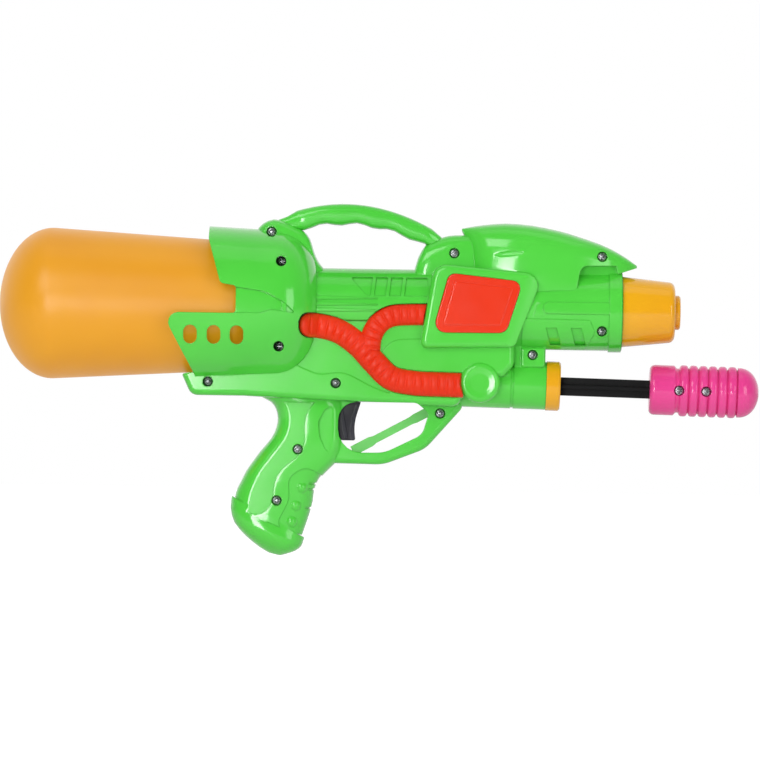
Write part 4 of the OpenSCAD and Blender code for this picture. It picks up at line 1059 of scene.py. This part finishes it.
def shell_screws() -> Screws:
    """The twelve screws that join the halves.

    Returns:
        The screws, each as long as its place allows.
    """
    longest, left_wall = 9.0, 2.5
    # X and Z in the body's own frame, the shell's half depth there and the recess's depth.
    spots = (
        (-28, 44.6, 12, 4), (-21.7, 26.7, 35.5, 20), (-22.4, -24, 36, 20), (-64.6, -45.6, 22, 8),
        (11.8, -45.4, 22, 8), (74.5, -62.6, 8, 3), (-10.3, -85.3, 15, 5), (-22.5, -116.1, 15, 5),
        (81.5, 33.4, 12, 4), (169.9, 32.6, 15.6, 5), (170.3, -12, 19.4, 6), (129.3, -26.7, 11.5, 4),
    )
    placed = tuple(
        (x - BODY_LEN, z, skin - deep, min(longest, skin - left_wall)) for x, z, skin, deep in spots
    )
    return Screws("shell_screws", "body", placed)


def pump_screws() -> Screws:
    """The two screws of the pump's handle, on its drooping axis.

    Returns:
        The screws.
    """
    droop = math.radians(1.2)
    mouth_x, mouth_z = 146.2, -45.2
    handle_start = 53.5
    seat, tip = 11.4, 9.5
    steps = (17.5, 33.7)
    along = [handle_start + step for step in steps]
    placed = tuple(
        (mouth_x - BODY_LEN + s * math.cos(droop), mouth_z - s * math.sin(droop), seat, tip)
        for s in along
    )
    return Screws("pump_handle_screws", "pump", placed)


@dataclass(frozen=True)
class Lamp:
    """A soft rectangular lamp.

    Attributes:
        name: its name.
        place: its place, in metres.
        size: its width and height, in metres.
        watts: its power.
    """

    name: str
    place: tuple[float, float, float]
    size: tuple[float, float]
    watts: float

    def build(self, target: Vector) -> None:
        """Adds the lamp to the scene.

        Args:
            target: the point that it faces.
        """
        data = bpy.data.lights.new(self.name, "AREA")
        data.shape = "RECTANGLE"
        data.size, data.size_y = self.size
        data.energy = self.watts
        made = bpy.data.objects.new(self.name, data)
        made.location = self.place
        made.rotation_euler = (target - Vector(self.place)).to_track_quat("-Z", "Y").to_euler()
        bpy.context.scene.collection.objects.link(made)


LAMPS = (
    Lamp("key", (-0.75, -1.25, 0.8), (0.9, 0.7), 7.2),
    Lamp("fill", (0.95, -1.2, 0.25), (0.6, 0.9), 5.0),
    Lamp("top", (-0.2, -0.15, 1.3), (1.4, 0.6), 1.4),
    Lamp("near", (-0.52, -1.9, 0.0), (0.36, 0.5), 9.0),
)


@dataclass
class Studio:
    """Plain soft light, a pale floor and the camera at the photo's angle.

    Attributes:
        middle: point that the camera looks at, in metres.
        width: width of the frame at the object, in metres.
        distance: distance of the camera.
        roll: clockwise lean of the object in the picture, in degrees.
        ambient: strength of the world's light from the front.
        behind: strength of the world's light from behind, where no lamp stands.
        room: brightness that gloss mirrors from the room in front.
        fade_range: where the front fades into the back, from -1 in front to 1 behind.
        sensor: width of the camera's sensor, in millimetres.
        far: distance up to which the camera sees, in metres.
        floor_gap: distance of the floor below the object.
        floor_half: half the floor's width.
        floor_points: points along the floor's side.
        paper: the floor's own brightness.
        lift: light that is added where the floor is seen.
        lift_mirrored: share of that light in mirrored rays.
    """

    middle: tuple[float, float, float] = (-0.1793, 0.0, -0.0431)
    width: float = 0.456
    distance: float = 4.0
    roll: float = 0.9
    ambient: float = 0.4
    behind: float = 0.85
    room: float = 0.12
    fade_range: tuple[float, float] = (-0.3, 0.9)
    sensor: float = 36.0
    far: float = 50.0
    floor_gap: float = 0.06
    floor_half: float = 6.0
    floor_points: int = 5
    paper: float = 0.82
    lift: float = 0.72
    lift_mirrored: float = 0.2

    def build(self) -> None:
        """Sets up the camera, the world, the lamps and the floor."""
        self.camera()
        self.world()
        for lamp in LAMPS:
            lamp.build(Vector(self.middle))
        self.floor()
        bpy.context.scene.view_settings.view_transform = "Standard"

    def camera(self) -> None:
        """A long lens on the level of the object, rolled by its lean."""
        data = bpy.data.cameras.new("camera")
        data.sensor_width = self.sensor
        data.lens = self.sensor / 2 * self.distance / (self.width / 2)
        data.clip_end = self.far
        made = bpy.data.objects.new("camera", data)
        lean = math.radians(self.roll)
        across = Vector((math.cos(lean), 0, math.sin(lean)))
        up = Vector((-math.sin(lean), 0, math.cos(lean)))
        back = across.cross(up)
        turn = Matrix((across, up, back)).transposed().to_4x4()
        place = Vector(self.middle) + back * self.distance
        made.matrix_world = Matrix.Translation(place) @ turn
        bpy.context.scene.collection.objects.link(made)
        bpy.context.scene.camera = made

    def seen(self, sheet: NodeSheet, gloss: float) -> bpy.types.NodeSocket:
        """A mask that is 1 on camera and see-through rays and part of that on mirrored ones.

        Args:
            sheet: the tree that it is added to.
            gloss: the mask's value on mirrored rays.

        Returns:
            The mask.
        """
        path = sheet.add("ShaderNodeLightPath")
        share = sheet.add("ShaderNodeMath", operation="MULTIPLY")
        sheet.link(path.outputs["Is Glossy Ray"], share.inputs[0])
        share.inputs[1].default_value = gloss
        first = sheet.add("ShaderNodeMath", operation="MAXIMUM")
        sheet.link(path.outputs["Is Camera Ray"], first.inputs[0])
        sheet.link(share.outputs[0], first.inputs[1])
        second = sheet.add("ShaderNodeMath", operation="MAXIMUM")
        sheet.link(first.outputs[0], second.inputs[0])
        sheet.link(path.outputs["Is Transmission Ray"], second.inputs[1])
        return second.outputs[0]

    def fade(
        self, sheet: NodeSheet, depth: bpy.types.NodeSocket, front: float, back: float
    ) -> bpy.types.NodeSocket:
        """A strength that changes softly from the front of the room to its back.

        Args:
            sheet: the tree that it is added to.
            depth: how far a direction points to the back, from -1 to 1.
            front: the strength in front.
            back: the strength behind.

        Returns:
            The strength.
        """
        return sheet.soft_step(depth, *self.fade_range, front, back)

    def world(self) -> None:
        """White where it is seen, softer as a light, and mirrored with a dim room in front."""
        made = bpy.data.worlds.new("studio_white")
        made.use_nodes = True
        sheet = NodeSheet(made.node_tree)
        output = sheet.add("ShaderNodeOutputWorld")
        mix = sheet.add("ShaderNodeMixShader")
        lights = [sheet.add("ShaderNodeBackground") for _ in range(2)]
        for place, light in enumerate(lights):
            light.inputs["Color"].default_value = WHITE
            sheet.link(light.outputs[0], mix.inputs[place + 1])
        way = sheet.add("ShaderNodeSeparateXYZ")
        sheet.link(sheet.add("ShaderNodeTexCoord").outputs["Generated"], way.inputs[0])
        soft = self.fade(sheet, way.outputs["Y"], self.ambient, self.behind)
        sheet.link(soft, lights[0].inputs["Strength"])
        bright = sheet.add("ShaderNodeMath", operation="MAXIMUM")
        sheet.link(self.fade(sheet, way.outputs["Y"], self.room, 1.0), bright.inputs[0])
        sheet.link(self.seen(sheet, 0.0), bright.inputs[1])
        sheet.link(bright.outputs[0], lights[1].inputs["Strength"])
        sheet.link(self.seen(sheet, 1.0), mix.inputs[0])
        sheet.link(mix.outputs[0], output.inputs["Surface"])
        bpy.context.scene.world = made

    def floor(self) -> None:
        """A wide pale plane below the object that keeps its shadow."""
        level = CAD_BOX[0].z - self.floor_gap
        across = np.linspace(-self.floor_half, self.floor_half, self.floor_points)
        x, y = np.meshgrid(across, across)
        rows = np.stack([x, y, np.full_like(x, level)], axis=-1)
        surface = grid_surface(rows, False)
        mesh = bpy.data.meshes.new("floor")
        mesh.from_pydata(surface.points.tolist(), [], surface.faces.tolist())
        mesh.materials.append(self.floor_material())
        made = bpy.data.objects.new("floor", mesh)
        bpy.context.scene.collection.objects.link(made)

    def floor_material(self) -> bpy.types.Material:
        """White paper: pale under the lamps and lifted to white where the camera sees it unshaded.

        Returns:
            The material.
        """
        material = bpy.data.materials.new("floor_paper")
        material.use_nodes = True
        sheet = NodeSheet(material.node_tree)
        output = sheet.add("ShaderNodeOutputMaterial")
        paper = sheet.add("ShaderNodeBsdfDiffuse")
        paper.inputs["Color"].default_value = (self.paper, self.paper, self.paper, 1)
        lift = sheet.add("ShaderNodeEmission")
        strength = sheet.add("ShaderNodeMath", operation="MULTIPLY")
        sheet.link(self.seen(sheet, self.lift_mirrored), strength.inputs[0])
        strength.inputs[1].default_value = self.lift
        sheet.link(strength.outputs[0], lift.inputs["Strength"])
        both = sheet.add("ShaderNodeAddShader")
        sheet.link(paper.outputs[0], both.inputs[0])
        sheet.link(lift.outputs[0], both.inputs[1])
        sheet.link(both.outputs[0], output.inputs["Surface"])
        return material


def write_size() -> None:
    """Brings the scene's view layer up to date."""
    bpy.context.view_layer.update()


def main() -> None:
    """Builds the studio and each sub-assembly in order."""
    logging.basicConfig(level=logging.INFO, format="%(name)s: %(message)s")
    Studio().build()
    MouldFlow().build()
    for assembly in (BodyShells(), WaterTank(), TriggerValve(), AirPump(), Nozzle()):
        assembly.build()
        assembly.dress()
    HoseTrims().build()
    shell_screws().build()
    pump_screws().build()
    write_size()


if __name__ == "__main__":
    main()
